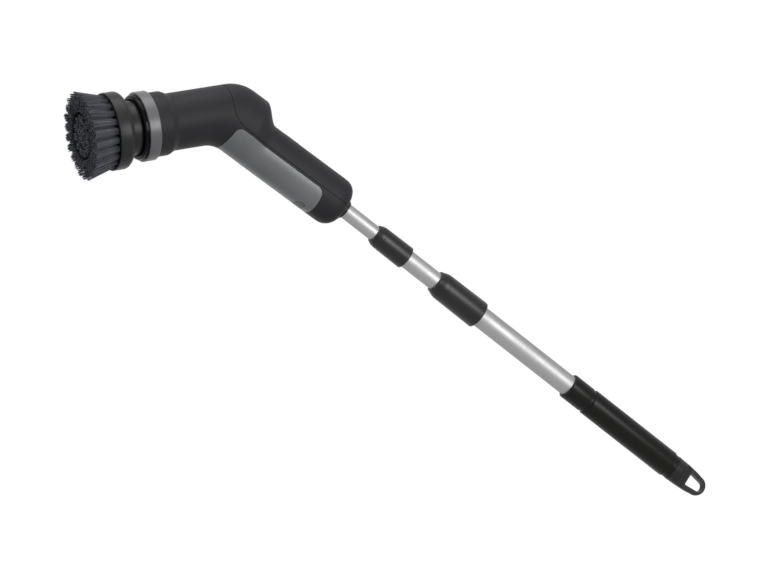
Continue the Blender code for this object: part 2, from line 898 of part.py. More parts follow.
def board_rise():
    """Height of the board's underside, set by the switch between it and the button."""
    button_low = HANDLE_HALF_HEIGHT - BUTTON_DEPTH - BUTTON_TRAVEL - FIT
    return button_low - SWITCH_HEIGHT - BOARD_THICKNESS


def board_posts():
    """Places (along, across) of the four posts that the board is fixed to."""
    start = BOARD_START + BOARD_POST_INSET
    end = cell_end() - BOARD_POST_INSET
    across = BOARD_HALF_WIDTH - BOARD_POST_INSET
    return [(along, side * across) for along in (start, end) for side in (1, -1)]


def make_grip_panel(frames, tools):
    """Soft panel, flush with the housing's skin, with a hole for the port's cover."""
    side = BARREL_RADIUS + CUT_OVERRUN
    outline = panel_outline(0)
    panel = prism("grip_panel", outline, "xz", -side, side, frames["handle"], soft_grey())
    common(panel, tools["outside"])
    cut(panel, tools["panel_back"], tools["port_hole"])
    return smooth(panel)


def make_port_cover(frames, tools):
    """Rubber cover of the charge port, with its origin on the hinge at its far end."""
    grow = RUNNING_GAP - FIT
    rise, hinge, middle = port_hinge_place()
    outline = [(across - hinge, along - middle) for across, along in port_outline(-grow)]
    low, high = -HANDLE_HALF_HEIGHT - CUT_OVERRUN - rise, -rise / 2
    rubber = material("cover_rubber", (0.02, 0.02, 0.022), 0.80)
    cover = prism("charge_port_cover", outline, "yz", low, high, frames["handle"], rubber)
    cover.location = (rise, hinge, middle)
    common(cover, tools["outside"])
    cut(cover, tools["panel_back"])
    return smooth(cover)


def port_hinge_place():
    """Place (rise, across, along) of the port cover's hinge, on the handle's skin."""
    across = -PORT_COVER_WIDTH / 2 + RUNNING_GAP - FIT
    return Vector((floor_height(across, 0), across, port_place()))


def make_button(frames, tools):
    """Power button, its origin in its own middle, flush over the surrounding bezel."""
    handle = frames["handle"]
    top = HANDLE_HALF_HEIGHT + CUT_OVERRUN
    low = HANDLE_HALF_HEIGHT - BUTTON_DEPTH
    outline = [(across, along - BUTTON_PLACE) for across, along in button_outline(0)]
    button = prism("power_button", outline, "yz", low, top, handle)
    button.data.materials.append(material("button_rubber", (0.045, 0.045, 0.05), 0.65))
    button.location = (0, 0, BUTTON_PLACE)
    common(button, tools["button_crown"])
    bezel_low = HANDLE_HALF_HEIGHT - BEZEL_DEPTH
    outline = button_outline(BEZEL_WALL + RUNNING_GAP)
    bezel = prism("button_bezel", outline, "yz", bezel_low, top, handle, trim_grey())
    hole = prism(
        "bezel_hole_form", button_outline(RUNNING_GAP), "yz", bezel_low - CUT_OVERRUN, top * 2, handle
    )
    common(bezel, tools["bezel_crown"])
    cut(bezel, hole)
    return [smooth(button), smooth(bezel)]


# Turned profiles


def tube_profile(bore, radius, start, end):
    """Outline of a plain tube or, with no bore, of a rod."""
    return [(bore, end), (radius, end), (radius, start), (bore, start)]


def nose_inner_radius():
    return nose_radius() - HOUSING_WALL - FIT


def ring_radius():
    return nose_radius() + RING_PROUD


def ring_bore():
    return ring_radius() - RING_WALL


def lip_bore():
    return ring_bore() - LIP_WALL


def neck_radius():
    return lip_bore() - NECK_GAP


def ring_back():
    """Where the nose ring starts, along the head's axis."""
    return ELBOW_TO_NOSE + FIT


def lip_back():
    return ring_back() + RING_LENGTH + FIT


def nose_plate_front():
    return ring_back() - SPIGOT_LENGTH - FIT


def boss_front():
    return nose_plate_front() + BEARING_BOSS_LENGTH


def make_nose_ring(frames):
    """Grey trim ring with a spigot that sits inside the housing's nose."""
    back, front = ring_back(), ring_back() + RING_LENGTH
    spigot = nose_inner_radius()
    profile = [(ring_bore(), front)]
    profile += reversed(rounded_edge(ring_radius(), front, -1, 1, RING_EDGE, 2))
    profile += rounded_edge(ring_radius(), back, -1, -1, RING_EDGE, 1)
    profile += [
        (spigot, back),
        (spigot, back - SPIGOT_LENGTH),
        (spigot - SPIGOT_WALL, back - SPIGOT_LENGTH),
        (spigot - SPIGOT_WALL, back + SPIGOT_WALL),
        (ring_bore(), back + SPIGOT_WALL),
    ]
    return turned("nose_ring", profile, frames["head"], trim_grey(), WIDE_STEPS)


def make_nose_bezel(frames):
    """Glossy lip whose spigot sits in the nose ring and whose bore clears the neck."""
    back, front = lip_back(), lip_back() + LIP_LENGTH
    spigot, bore = ring_bore() - FIT, lip_bore()
    lip_radius = ring_radius() - LIP_INSET
    profile = [(bore, front - LIP_EDGE / 2), (bore + LIP_EDGE / 2, front)]
    profile += reversed(rounded_edge(lip_radius, front, -1, 1, LIP_EDGE))
    profile += [
        (lip_radius, back),
        (spigot, back),
        (spigot, back - LIP_SPIGOT_LENGTH),
        (bore, back - LIP_SPIGOT_LENGTH),
    ]
    return turned("nose_bezel", profile, frames["head"], gloss_black(), WIDE_STEPS)


def make_nose_plate(frames):
    """Wall inside the nose, with a boss that holds the bearings and the seal."""
    front = nose_plate_front()
    back = front - NOSE_PLATE_THICKNESS
    bush = BUSH_RADIUS + FIT
    pocket = BEARING_RADIUS + FIT
    pocket_back = boss_front() - SEAL_WIDTH - BEARING_WIDTH - 2 * FIT
    profile = [
        (pocket, boss_front()),
        (BEARING_BOSS_RADIUS, boss_front()),
        (BEARING_BOSS_RADIUS, front),
        (nose_inner_radius(), front),
        (nose_inner_radius(), back),
        (bush, back),
        (bush, front),
        (SHAFT_RADIUS + BUSH_RADIUS / 4, front),
        (SHAFT_RADIUS + BUSH_RADIUS / 4, pocket_back),
        (pocket, pocket_back),
    ]
    return turned("nose_plate", profile, frames["head"], housing_black())


def make_bearings(frames):
    """Front ball bearing, lip seal and rear bush on the output shaft."""
    head = frames["head"]
    bore = SHAFT_RADIUS + FIT / 2
    seal_front = boss_front()
    bearing_front = seal_front - SEAL_WIDTH - FIT
    bearing = tube_profile(bore, BEARING_RADIUS, bearing_front - BEARING_WIDTH, bearing_front)
    seal = tube_profile(bore, BEARING_RADIUS, seal_front - SEAL_WIDTH, seal_front)
    bush_front = nose_plate_front() - FIT
    bush_back = bush_front - NOSE_PLATE_THICKNESS + FIT
    bush = tube_profile(bore, BUSH_RADIUS, bush_back, bush_front)
    rubber = material("seal_rubber", (0.02, 0.02, 0.02), 0.80)
    turned("front_bearing", bearing, head, steel(), SMALL_STEPS)
    turned("shaft_seal", seal, head, rubber, SMALL_STEPS)
    turned("rear_bush", bush, head, bronze(), SMALL_STEPS)


def make_neck(frames):
    """Black neck: a cup over the bearing boss, fixed on the output shaft."""
    bore = SHAFT_RADIUS + FIT
    wall_back = NECK_FRONT - NECK_FRONT_WALL
    inner = neck_radius() - NECK_WALL
    profile = [(bore, NECK_FRONT)]
    profile += reversed(rounded_edge(neck_radius(), NECK_FRONT, -1, 1, NECK_EDGE, 1))
    profile += [
        (neck_radius(), NECK_START),
        (inner, NECK_START),
        (inner, wall_back),
        (NECK_BOSS_RADIUS, wall_back),
        (NECK_BOSS_RADIUS, boss_front() + RUNNING_GAP),
        (bore, boss_front() + RUNNING_GAP),
    ]
    return turned("drive_hub", profile, frames["head"], fitting_black(), WIDE_STEPS)


def hexagon(radius):
    return circle_outline(0, 0, radius, 6)


def make_output_shaft(frames):
    """Steel shaft with the hexagonal peg that drives the brush."""
    head = frames["head"]
    start = carrier_back() + FIT
    profile = tube_profile(0, SHAFT_RADIUS, start, NECK_FRONT)
    shaft = turned("output_shaft", profile, head, steel(), SMALL_STEPS)
    peg_start, peg_end = NECK_FRONT - FIT, NECK_FRONT + PEG_LENGTH
    peg = prism("drive_peg_form", hexagon(PEG_RADIUS), "xy", peg_start, peg_end, head)
    join(shaft, peg)
    cut(shaft, tool(peg_clearance(frames)))
    return shaft


def peg_clearance(frames):
    """Thin ring that keeps the hexagonal peg clear of the neck's front face."""
    profile = tube_profile(SHAFT_RADIUS, PEG_RADIUS * 2, NECK_FRONT - FIT * 2, NECK_FRONT + FIT)
    return turned("peg_clearance_form", profile, frames["head"], None, SMALL_STEPS)


# Brush


def brush_back():
    return NECK_FRONT + FIT


def brush_face():
    """Front of the backing that the bristles stand on."""
    return brush_back() + BRUSH_THICKNESS


def backing_parting():
    """Radius at which the backing parts into a ring and a disc."""
    return BRUSH_RADIUS * BACKING_PARTING_SHARE


def make_brush_base(frames):
    """Round plate with a soft rear edge, a front rim and a hexagonal socket."""
    back, front = brush_back(), brush_face()
    floor = front - BACKING_THICKNESS - FIT
    rim = BRUSH_RADIUS - BRUSH_RIM
    profile = [(0, floor), (rim, floor), (rim, front), (BRUSH_RADIUS, front)]
    profile += rounded_edge(BRUSH_RADIUS, back, -1, -1, BRUSH_BACK_EDGE, EDGE_STEPS + 1)
    profile += [(0, back)]
    base = turned("brush_base", profile, frames["head"], fitting_black(), WIDE_STEPS)
    socket = hexagon(PEG_RADIUS + FIT)
    depth = NECK_FRONT + PEG_LENGTH + FIT
    hole = prism("hex_socket_form", socket, "xy", back - CUT_OVERRUN, depth, frames["head"])
    return cut(base, hole)


def strand(maker, foot, tip, radius):
    """One tapered strand from its root in the backing to its tip."""
    way = (tip - foot).normalized()
    side = way.orthogonal().normalized()
    other = way.cross(side)
    rings = []
    for place, size in ((foot - way * STRAND_ROOT, radius), (tip, radius * STRAND_TIP_SHARE)):
        ring = []
        for corner in range(STRAND_SIDES):
            turn = 2 * math.pi * corner / STRAND_SIDES
            spot = place + (side * math.cos(turn) + other * math.sin(turn)) * size
            ring.append(maker.verts.new(spot))
        rings.append(ring)
    maker.faces.new(rings[0])
    maker.faces.new(rings[1])
    for corner in range(STRAND_SIDES):
        after = (corner + 1) % STRAND_SIDES
        maker.faces.new((rings[0][corner], rings[0][after], rings[1][after], rings[1][corner]))


def tuft(maker, turn, foot_place, tip_place, spread_out, spread_round, strands):
    """Strands of one tuft, set in a sunflower pattern that widens towards the tips."""
    out = Vector((math.cos(turn), math.sin(turn), 0))
    around = Vector((-math.sin(turn), math.cos(turn), 0))
    face, tips = Vector((0, 0, brush_face())), Vector((0, 0, brush_face() + BRISTLE_LENGTH))
    for index in range(strands):
        share = math.sqrt((index + 0.5) / strands)
        spin = GOLDEN_TURN * index
        outwards, sideways = share * math.cos(spin), share * math.sin(spin)
        foot = face + out * (foot_place + TUFT_RADIUS * outwards) + around * TUFT_RADIUS * sideways
        tip = tips + out * (tip_place + spread_out * outwards) + around * spread_round * sideways
        strand(maker, foot, tip, STRAND_RADIUS)


def make_outer_bristles(frames):
    """Ring of flared tufts on their slice of the backing."""
    back = brush_face() - BACKING_THICKNESS
    radius = BRUSH_RADIUS - BRUSH_RIM - FIT
    profile = tube_profile(backing_parting() + FIT, radius, back, brush_face())
    ring = turned("outer_bristles", profile, frames["head"], bristle_slate())
    maker = bmesh.new()
    for index in range(OUTER_TUFTS):
        turn = 2 * math.pi * index / OUTER_TUFTS
        tuft(
            maker,
            turn,
            BRUSH_RADIUS - OUTER_TUFT_INSET,
            BRUSH_RADIUS - OUTER_TIP_INSET,
            OUTER_TIP_SPREAD_OUT,
            OUTER_TIP_SPREAD_ROUND,
            OUTER_TUFT_STRANDS,
        )
    return join(ring, new_object("outer_strands_form", maker, frames["head"], None))


def make_inner_bristles(frames):
    """Inner cluster of straighter tufts on a round slice of the backing."""
    back = brush_face() - BACKING_THICKNESS
    parting = backing_parting()
    disc_profile = tube_profile(0, parting, back, brush_face())
    disc = turned("inner_bristles", disc_profile, frames["head"], bristle_slate())
    maker = bmesh.new()
    spread = INNER_TIP_SPREAD
    for count, foot_share, tip_share in INNER_ROW_SHARES:
        foot, tip = parting * foot_share, parting * tip_share
        for index in range(count):
            turn = 2 * math.pi * index / count
            tuft(maker, turn, foot, tip, spread, spread, INNER_TUFT_STRANDS)
    return join(disc, new_object("inner_strands_form", maker, frames["head"], None))


# Gearbox


def gearbox_radius():
    return BARREL_RADIUS - HOUSING_WALL - FIT


def gear_module():
    """Module that lets the ring gear, with its wall, fill the barrel."""
    return (gearbox_radius() - RING_GEAR_WALL) / (RING_TEETH / 2 + DEDENDUM_SHARE)


def involute_turn(radius, base_radius):
    """Angle of an involute flank at a radius, from where it leaves its base circle."""
    tangent = math.sqrt(max((radius / base_radius) ** 2 - 1, 0))
    return tangent - math.atan(tangent)


def gear_outline(teeth, phase, widen, outward_share, inward_share, flank_points=3):
    """Outline of an involute gear with a tooth's middle at the phase angle.

    widen is added to each tooth's thickness at the pitch circle.
    """
    pitch = teeth * gear_module() / 2
    base = pitch * math.cos(PRESSURE_ANGLE)
    half = (math.pi * gear_module() + 2 * widen) / (4 * pitch)
    offset = half + involute_turn(pitch, base)
    root, tip = pitch - gear_module() * inward_share, pitch + gear_module() * outward_share
    shares = [index / (flank_points - 1) for index in range(flank_points)]
    radii = [blend(root, tip, share) for share in shares]
    points = []
    for tooth in range(teeth):
        middle = phase + 2 * math.pi * tooth / teeth
        flank = [(radius, offset - involute_turn(radius, base)) for radius in radii]
        for radius, turn in flank:
            points.append((radius * math.cos(middle - turn), radius * math.sin(middle - turn)))
        for radius, turn in reversed(flank):
            points.append((radius * math.cos(middle + turn), radius * math.sin(middle + turn)))
    return points


def external_gear(name, teeth, phase, bore, empty, finish):
    """Spur gear with a round bore, along the empty's Z from the gears' back."""
    outline = gear_outline(teeth, phase, -BACKLASH, ADDENDUM_SHARE, DEDENDUM_SHARE)
    front = GEAR_BACK + GEAR_WIDTH
    gear = prism(name, outline, "xy", GEAR_BACK, front, empty, finish)
    hole = tube_profile(0, bore, GEAR_BACK - CUT_OVERRUN, front + CUT_OVERRUN)
    cut(gear, turned(f"{name}_bore_form", hole, empty, None, COLUMN_STEPS))
    return gear


def gears_front():
    return GEAR_BACK + GEAR_WIDTH


def carrier_back():
    return gears_front() + RUNNING_GAP


def carrier_front():
    return carrier_back() + CARRIER_THICKNESS


def planet_orbit():
    return (SUN_TEETH + PLANET_TEETH) * gear_module() / 2


def planet_turns():
    """Directions of the planets about the head's axis, each in mesh with sun and ring."""
    return [math.pi / 2 + 2 * math.pi * index / PLANET_COUNT for index in range(PLANET_COUNT)]


def planet_phase(turn):
    """Angle of a planet's tooth that keeps it in mesh with the sun's tooth at 90 degrees."""
    sun_lag = (math.pi / 2 - turn) * SUN_TEETH / PLANET_TEETH
    return turn + math.pi + math.pi / PLANET_TEETH - sun_lag


def make_ring_gear(frames):
    """Fixed gear with inner teeth, held between the gearbox plate and the nose plate."""
    back = GEAR_BACK - FIT
    front = nose_plate_front() - NOSE_PLATE_THICKNESS - FIT
    profile = tube_profile(0, gearbox_radius(), back, front)
    gear = turned("ring_gear", profile, frames["head"], nylon(), WIDE_STEPS)
    phase = math.pi / 2 + math.pi / RING_TEETH
    outline = gear_outline(RING_TEETH, phase, BACKLASH, DEDENDUM_SHARE, ADDENDUM_SHARE, 2)
    hole = prism(
        "ring_teeth_form", outline, "xy", back - CUT_OVERRUN, front + CUT_OVERRUN, frames["head"]
    )
    return cut(gear, hole)


def make_gear_train(frames):
    """Sun pinion on the motor shaft and three planets on the carrier's pins."""
    head = frames["head"]
    bore = MOTOR_SHAFT_RADIUS + FIT
    external_gear("sun_pinion", SUN_TEETH, math.pi / 2, bore, head, steel())
    for index, turn in enumerate(planet_turns(), 1):
        bore = PLANET_PIN_RADIUS + FIT
        phase = planet_phase(turn)
        planet = external_gear(
            f"planet_gear_{index}", PLANET_TEETH, phase, bore, head, nylon()
        )
        place = (planet_orbit() * math.cos(turn), planet_orbit() * math.sin(turn), 0)
        planet.location = place
        planet.modifiers[0].object.location = place


def make_carrier(frames):
    """Disc with the planets' pins, on the back end of the output shaft."""
    head = frames["head"]
    radius = planet_orbit() + CARRIER_RIM
    profile = tube_profile(0, radius, carrier_back(), carrier_front())
    carrier = turned("planet_carrier", profile, head, steel(), TURN_STEPS)
    for index, turn in enumerate(planet_turns(), 1):
        across, along = planet_orbit() * math.cos(turn), planet_orbit() * math.sin(turn)
        outline = circle_outline(across, along, PLANET_PIN_RADIUS, COLUMN_STEPS)
        high = carrier_back() + CARRIER_THICKNESS / 2
        join(carrier, prism(f"planet_pin_{index}_form", outline, "xy", GEAR_BACK, high, head))
    start, end = carrier_back() - CUT_OVERRUN, carrier_front() + CUT_OVERRUN
    hole = tube_profile(0, SHAFT_RADIUS + FIT, start, end)
    return cut(carrier, turned("carrier_bore_form", hole, head, None, SMALL_STEPS))


def gearbox_plate_back():
    return GEAR_BACK - FIT * 2 - GEARBOX_PLATE_THICKNESS


def make_gearbox_plate(frames):
    """Plate across the barrel that the motor is fixed to."""
    back = gearbox_plate_back()
    bore = MOTOR_BOSS_RADIUS + FIT
    profile = tube_profile(bore, gearbox_radius(), back, back + GEARBOX_PLATE_THICKNESS)
    return turned("gearbox_plate", profile, frames["head"], aluminium())


# Motor


def motor_front():
    return gearbox_plate_back() - FIT


def motor_back():
    return motor_front() - MOTOR_LENGTH


def make_motor(frames):
    """Can with its ring magnet, the wound armature on its shaft, and the end cap."""
    head = frames["head"]
    front, back = motor_front(), motor_back()
    inner = MOTOR_RADIUS - MOTOR_WALL
    shaft_bore = MOTOR_SHAFT_RADIUS + RUNNING_GAP
    boss_end = gearbox_plate_back() + GEARBOX_PLATE_THICKNESS
    can = [
        (shaft_bore, boss_end),
        (MOTOR_BOSS_RADIUS, boss_end),
        (MOTOR_BOSS_RADIUS, front),
        (MOTOR_RADIUS, front),
        (MOTOR_RADIUS, back),
        (inner, back),
        (inner, front - MOTOR_WALL),
        (shaft_bore, front - MOTOR_WALL),
    ]
    turned("motor_can", can, head, steel(), SMALL_STEPS)
    magnet_front = front - MOTOR_WALL * 4
    magnet_bore = inner - FIT - MAGNET_WALL
    magnet = tube_profile(magnet_bore, inner - FIT, magnet_front - MAGNET_LENGTH, magnet_front)
    turned("motor_magnet", magnet, head, magnet_grey(), SMALL_STEPS)
    armature_front = magnet_front - (MAGNET_LENGTH - ARMATURE_LENGTH) / 2
    armature_bore = MOTOR_SHAFT_RADIUS + FIT
    armature = tube_profile(
        armature_bore, magnet_bore - RUNNING_GAP, armature_front - ARMATURE_LENGTH, armature_front
    )
    turned("armature", armature, head, copper(), SMALL_STEPS)
    cap_boss = back - FIT - MOTOR_CAP_THICKNESS * 2
    cap = [
        (shaft_bore, back + MOTOR_WALL),
        (inner - FIT, back + MOTOR_WALL),
        (inner - FIT, back - FIT),
        (MOTOR_RADIUS, back - FIT),
        (MOTOR_RADIUS, back - FIT - MOTOR_CAP_THICKNESS),
        (MOTOR_BOSS_RADIUS, back - FIT - MOTOR_CAP_THICKNESS),
        (MOTOR_BOSS_RADIUS, cap_boss),
        (shaft_bore, cap_boss),
    ]
    turned("motor_end_cap", cap, head, nylon(), SMALL_STEPS)
    shaft = tube_profile(0, MOTOR_SHAFT_RADIUS, cap_boss, gears_front())
    turned("motor_shaft", shaft, head, steel(), SMALL_STEPS)


# Battery and electronics


def cell_across():
    return CELL_RADIUS + FIT / 2


def cavity_half_width(height):
    """Half the cavity's width at a height, where the handle is straight."""
    share = abs(height) / (HANDLE_HALF_HEIGHT - HOUSING_WALL)
    width = HANDLE_HALF_WIDTH - HOUSING_WALL
    return width * (1 - share**HANDLE_POWER) ** (1 / HANDLE_POWER)


def make_battery(frames):
    """Two round cells side by side in their tray."""
    handle = frames["handle"]
    start, end = CELL_START, cell_end()
    middle = CELL_LIFT + HOUSING_WALL - HANDLE_HALF_HEIGHT
    rim, floor = middle - TRAY_RIM_DROP, middle - TRAY_FLOOR_DROP
    tray_outline = [
        (rim, cavity_half_width(rim) - 2 * FIT),
        (floor, cavity_half_width(floor) - 2 * FIT),
        (floor, 2 * FIT - cavity_half_width(floor)),
        (rim, 2 * FIT - cavity_half_width(rim)),
    ]
    low, high = start - TRAY_END_WALL, end + TRAY_END_WALL
    tray = prism("battery_holder", tray_outline, "xy", low, high, handle, nylon())
    foot_outer = TRAY_FOOT_PLACE + TRAY_FOOT_WIDTH
    foot_low = floor_height(foot_outer) + FIT
    for index, side in enumerate((1, -1), 1):
        near, far = side * TRAY_FOOT_PLACE, side * foot_outer
        outline = [(foot_low, near), (foot_low, far), (rim, far), (rim, near)]
        foot = prism(
            f"tray_foot_{index}_form", outline, "xy", low + FIT, high - FIT, handle
        )
        join(tray, foot)
    for index, side in enumerate((1, -1), 1):
        across = side * cell_across()
        outline = circle_outline(middle, across, CELL_RADIUS, TURN_STEPS)
        cell = prism(f"battery_cell_{index}", outline, "xy", start, end, handle, cell_wrap())
        smooth(cell)
        outline = circle_outline(middle, across, CELL_RADIUS + FIT, TURN_STEPS)
        trough = prism(f"trough_{index}_form", outline, "xy", start - FIT, end + FIT, handle)
        cut(tray, trough)
    return tray


def make_board(frames):
    """Control board under its posts, with the power switch on it."""
    handle = frames["handle"]
    low, high = board_rise(), board_rise() + BOARD_THICKNESS
    half = BOARD_HALF_WIDTH
    outline = rounded_rectangle(-half, half, BOARD_START, cell_end(), FIT * 3, 2)
    prism("control_board", outline, "yz", low, high, handle, board_green())
    half = SWITCH_SIZE / 2
    outline = [
        (half, BUTTON_PLACE + half),
        (-half, BUTTON_PLACE + half),
        (-half, BUTTON_PLACE - half),
        (half, BUTTON_PLACE - half),
    ]
    plunger_top = high + SWITCH_HEIGHT
    body_low, body_top = high + FIT, high + SWITCH_HEIGHT * SWITCH_BODY_SHARE
    finish = fitting_black()
    switch = prism("power_switch", outline, "yz", body_low, body_top, handle, finish)
    outline = circle_outline(0, BUTTON_PLACE, PLUNGER_RADIUS)
    plunger = prism("plunger_form", outline, "yz", body_low + FIT, plunger_top, handle)
    return join(switch, plunger)


def make_charge_socket(frames):
    """Receptacle on the handle's floor, its mouth towards the rubber cover."""
    handle = frames["handle"]
    low = floor_height(SOCKET_BODY_WIDTH / 2) + FIT
    width, length = SOCKET_BODY_WIDTH / 2, SOCKET_BODY_LENGTH / 2
    outline = rounded_rectangle(
        -width, width, port_place() - length, port_place() + length, SOCKET_MOUTH_LENGTH / 2, 2
    )
    body = prism(
        "charge_socket", outline, "yz", low, low + SOCKET_BODY_HEIGHT, handle, steel()
    )
    mouth = prism(
        "socket_mouth_form",
        slot_outline(0, port_place(), SOCKET_MOUTH_WIDTH, SOCKET_MOUTH_LENGTH, 2),
        "yz",
        low - CUT_OVERRUN,
        low + SOCKET_MOUTH_DEPTH,
        handle,
    )
    return cut(body, mouth)


def make_screws(frames):
    """Three screws that join the housing halves from under the panel."""
    handle = frames["handle"]
    for index, (along, across) in enumerate(screw_places(), 1):
        seat = screw_seat(across)
        head = circle_outline(across, along, SCREW_HEAD_RADIUS, COLUMN_STEPS)
        low = seat - SCREW_HEAD_HEIGHT
        screw = prism(f"housing_screw_{index}", head, "yz", low, seat, handle, steel())
        shank = circle_outline(across, along, SCREW_SHANK_RADIUS, COLUMN_STEPS)
        middle = seat - SCREW_HEAD_HEIGHT / 2
        join(screw, prism(f"shank_{index}_form", shank, "yz", middle, SCREW_REACH, handle))
        smooth(screw)


# Pole


def socket_radius():
    return INNER_TUBE_RADIUS + SOCKET_WALL


def make_pole_socket(frames):
    """Sleeve that holds the inner tube, with a flange behind the handle's end."""
    pole = frames["pole"]
    bore = INNER_TUBE_RADIUS + FIT
    radius = socket_radius()
    flange = INNER_TUBE_RADIUS + SOCKET_FLANGE_WIDTH
    profile = [(bore, 0)]
    profile += reversed(rounded_edge(radius, 0, -1, 1, COLLAR_EDGE, 1))
    profile += [
        (radius, -SOCKET_FLANGE_FRONT),
        (flange, -SOCKET_FLANGE_FRONT),
        (flange, -SOCKET_FLANGE_BACK),
        (radius, -SOCKET_FLANGE_BACK),
        (radius, -SOCKET_DEPTH),
        (bore, -SOCKET_DEPTH),
    ]
    sleeve = turned("pole_socket", profile, pole, fitting_black())
    return cut(sleeve, pin_hole(pole, "sleeve_pin_form"))


def pin_hole(pole, name):
    reach = socket_radius() + CUT_OVERRUN
    outline = circle_outline(0, -PIN_PLACE, PIN_RADIUS + FIT, COLUMN_STEPS)
    return prism(name, outline, "xz", -reach, reach, pole)


def make_inner_tube(frames):
    """First tube, pinned in the handle, with a guide plug on its hidden end."""
    pole = frames["pole"]
    bore = INNER_TUBE_RADIUS - TUBE_WALL
    start = -SOCKET_DEPTH + FIT
    profile = tube_profile(bore, INNER_TUBE_RADIUS, start, inner_tube_end())
    tube = turned("inner_tube", profile, pole, aluminium())
    cut(tube, pin_hole(pole, "tube_pin_form"))
    reach = socket_radius()
    outline = circle_outline(0, -PIN_PLACE, PIN_RADIUS, COLUMN_STEPS)
    smooth(prism("tube_pin", outline, "xz", -reach, reach, pole, steel()))
    plug = [
        (0, inner_tube_end() + PLUG_FLANGE),
        (MIDDLE_TUBE_RADIUS - TUBE_WALL - FIT, inner_tube_end() + PLUG_FLANGE),
        (MIDDLE_TUBE_RADIUS - TUBE_WALL - FIT, inner_tube_end() + FIT),
        (bore - FIT, inner_tube_end() + FIT),
        (bore - FIT, inner_tube_end() - PLUG_SPIGOT),
        (0, inner_tube_end() - PLUG_SPIGOT),
    ]
    turned("inner_tube_plug", plug, pole, nylon(), SMALL_STEPS)
    return tube


def outer_tube_end():
    return cap_start() - FIT


def middle_tube_end():
    return outer_tube_end() - MIDDLE_TUBE_REST


def inner_tube_end():
    return middle_tube_end() - INNER_TUBE_REST


def inner_collet_start():
    return INNER_COLLAR_START + COLLAR_NOSE_WALL + COLLET_FRONT_GAP


def middle_tube_start():
    return inner_collet_start() + COLLET_FINGER_LENGTH + FIT


def outer_collet_start():
    return outer_collar_start() + COLLAR_NOSE_WALL + COLLET_FRONT_GAP


def outer_tube_start():
    return outer_collet_start() + COLLET_FINGER_LENGTH + FIT


def make_middle_tube(frames):
    """Second tube, with its guide plug."""
    pole = frames["pole"]
    bore = MIDDLE_TUBE_RADIUS - TUBE_WALL
    profile = tube_profile(bore, MIDDLE_TUBE_RADIUS, middle_tube_start(), middle_tube_end())
    turned("middle_tube", profile, pole, aluminium())
    flange = OUTER_TUBE_RADIUS - TUBE_WALL - FIT
    plug = [
        (0, middle_tube_end() + PLUG_FLANGE),
        (flange, middle_tube_end() + PLUG_FLANGE),
        (flange, middle_tube_end() + FIT),
        (bore - FIT, middle_tube_end() + FIT),
        (bore - FIT, middle_tube_end() - PLUG_SPIGOT),
        (0, middle_tube_end() - PLUG_SPIGOT),
    ]
    turned("middle_tube_plug", plug, pole, nylon(), SMALL_STEPS)


def collet_profile(start, end, inside_radius, tube_radius):
    """Outline of a collet: thin fingers round the inner tube, a sleeve on the outer one."""
    outer = tube_radius + FIT + COLLET_WALL
    return [
        (tube_radius + FIT, end),
        (outer, end),
        (outer, start + COLLET_FINGER_LENGTH + COLLET_WALL * 2),
        (inside_radius + FIT + COLLET_WALL, start),
        (inside_radius + FIT, start),
        (inside_radius + FIT, start + COLLET_FINGER_LENGTH),
        (tube_radius + FIT, start + COLLET_FINGER_LENGTH),
    ]


def collar_profile(start, end, front_radius, radius, inside_radius, tube_radius):
    """Outline of a twist lock that closes over its collet."""
    bore = inside_radius + RUNNING_GAP
    cavity = tube_radius + FIT + COLLET_WALL + FIT
    chamfer_end = start + (end - start) * COLLAR_CHAMFER_SHARE
    shoulder = blend(front_radius, radius, COLLAR_SHOULDER_SHARE)
    profile = rounded_edge(radius, end, -1, 1, COLLAR_EDGE, 1)
    profile += [
        (cavity, end),
        (cavity, start + COLLAR_NOSE_WALL + COLLET_FINGER_LENGTH),
        (inside_radius + FIT * 2 + COLLET_WALL, start + COLLAR_NOSE_WALL),
        (bore, start + COLLAR_NOSE_WALL),
        (bore, start),
    ]
    profile += reversed(rounded_edge(front_radius, start, -1, -1, COLLAR_FRONT_EDGE, 1))
    profile.append((shoulder, chamfer_end))
    return profile[::-1]


def make_twist_locks(frames):
    """Collet and twist collar of both joints of the pole."""
    pole = frames["pole"]
    inner_end, outer_end = inner_collar_end(), outer_collar_end()
    collet = collet_profile(
        inner_collet_start(), inner_end - COLLET_BACK_INSET, INNER_TUBE_RADIUS, MIDDLE_TUBE_RADIUS
    )
    turned("inner_collet", collet, pole, nylon(), SMALL_STEPS)
    collet = collet_profile(
        outer_collet_start(), outer_end - COLLET_BACK_INSET, MIDDLE_TUBE_RADIUS, OUTER_TUBE_RADIUS
    )
    turned("outer_collet", collet, pole, nylon(), SMALL_STEPS)
    collar = collar_profile(
        INNER_COLLAR_START,
        inner_end,
        INNER_TUBE_RADIUS + INNER_COLLAR_FRONT_WALL,
        MIDDLE_TUBE_RADIUS + INNER_COLLAR_WALL,
        INNER_TUBE_RADIUS,
        MIDDLE_TUBE_RADIUS,
    )
    turned("inner_collar", collar, pole, fitting_black())
    collar = collar_profile(
        outer_collar_start(),
        outer_end,
        MIDDLE_TUBE_RADIUS + OUTER_COLLAR_FRONT_WALL,
        OUTER_TUBE_RADIUS + OUTER_COLLAR_WALL,
        MIDDLE_TUBE_RADIUS,
        OUTER_TUBE_RADIUS,
    )
    turned("outer_collar", collar, pole, fitting_black())


# Grip and end cap


def cap_start():
    return grip_start() + GRIP_LENGTH + GRIP_TAIL_LENGTH + FIT


def make_outer_tube(frames):
    profile = tube_profile(
        OUTER_TUBE_RADIUS - TUBE_WALL, OUTER_TUBE_RADIUS, outer_tube_start(), outer_tube_end()
    )
    return turned("outer_tube", profile, frames["pole"], aluminium())


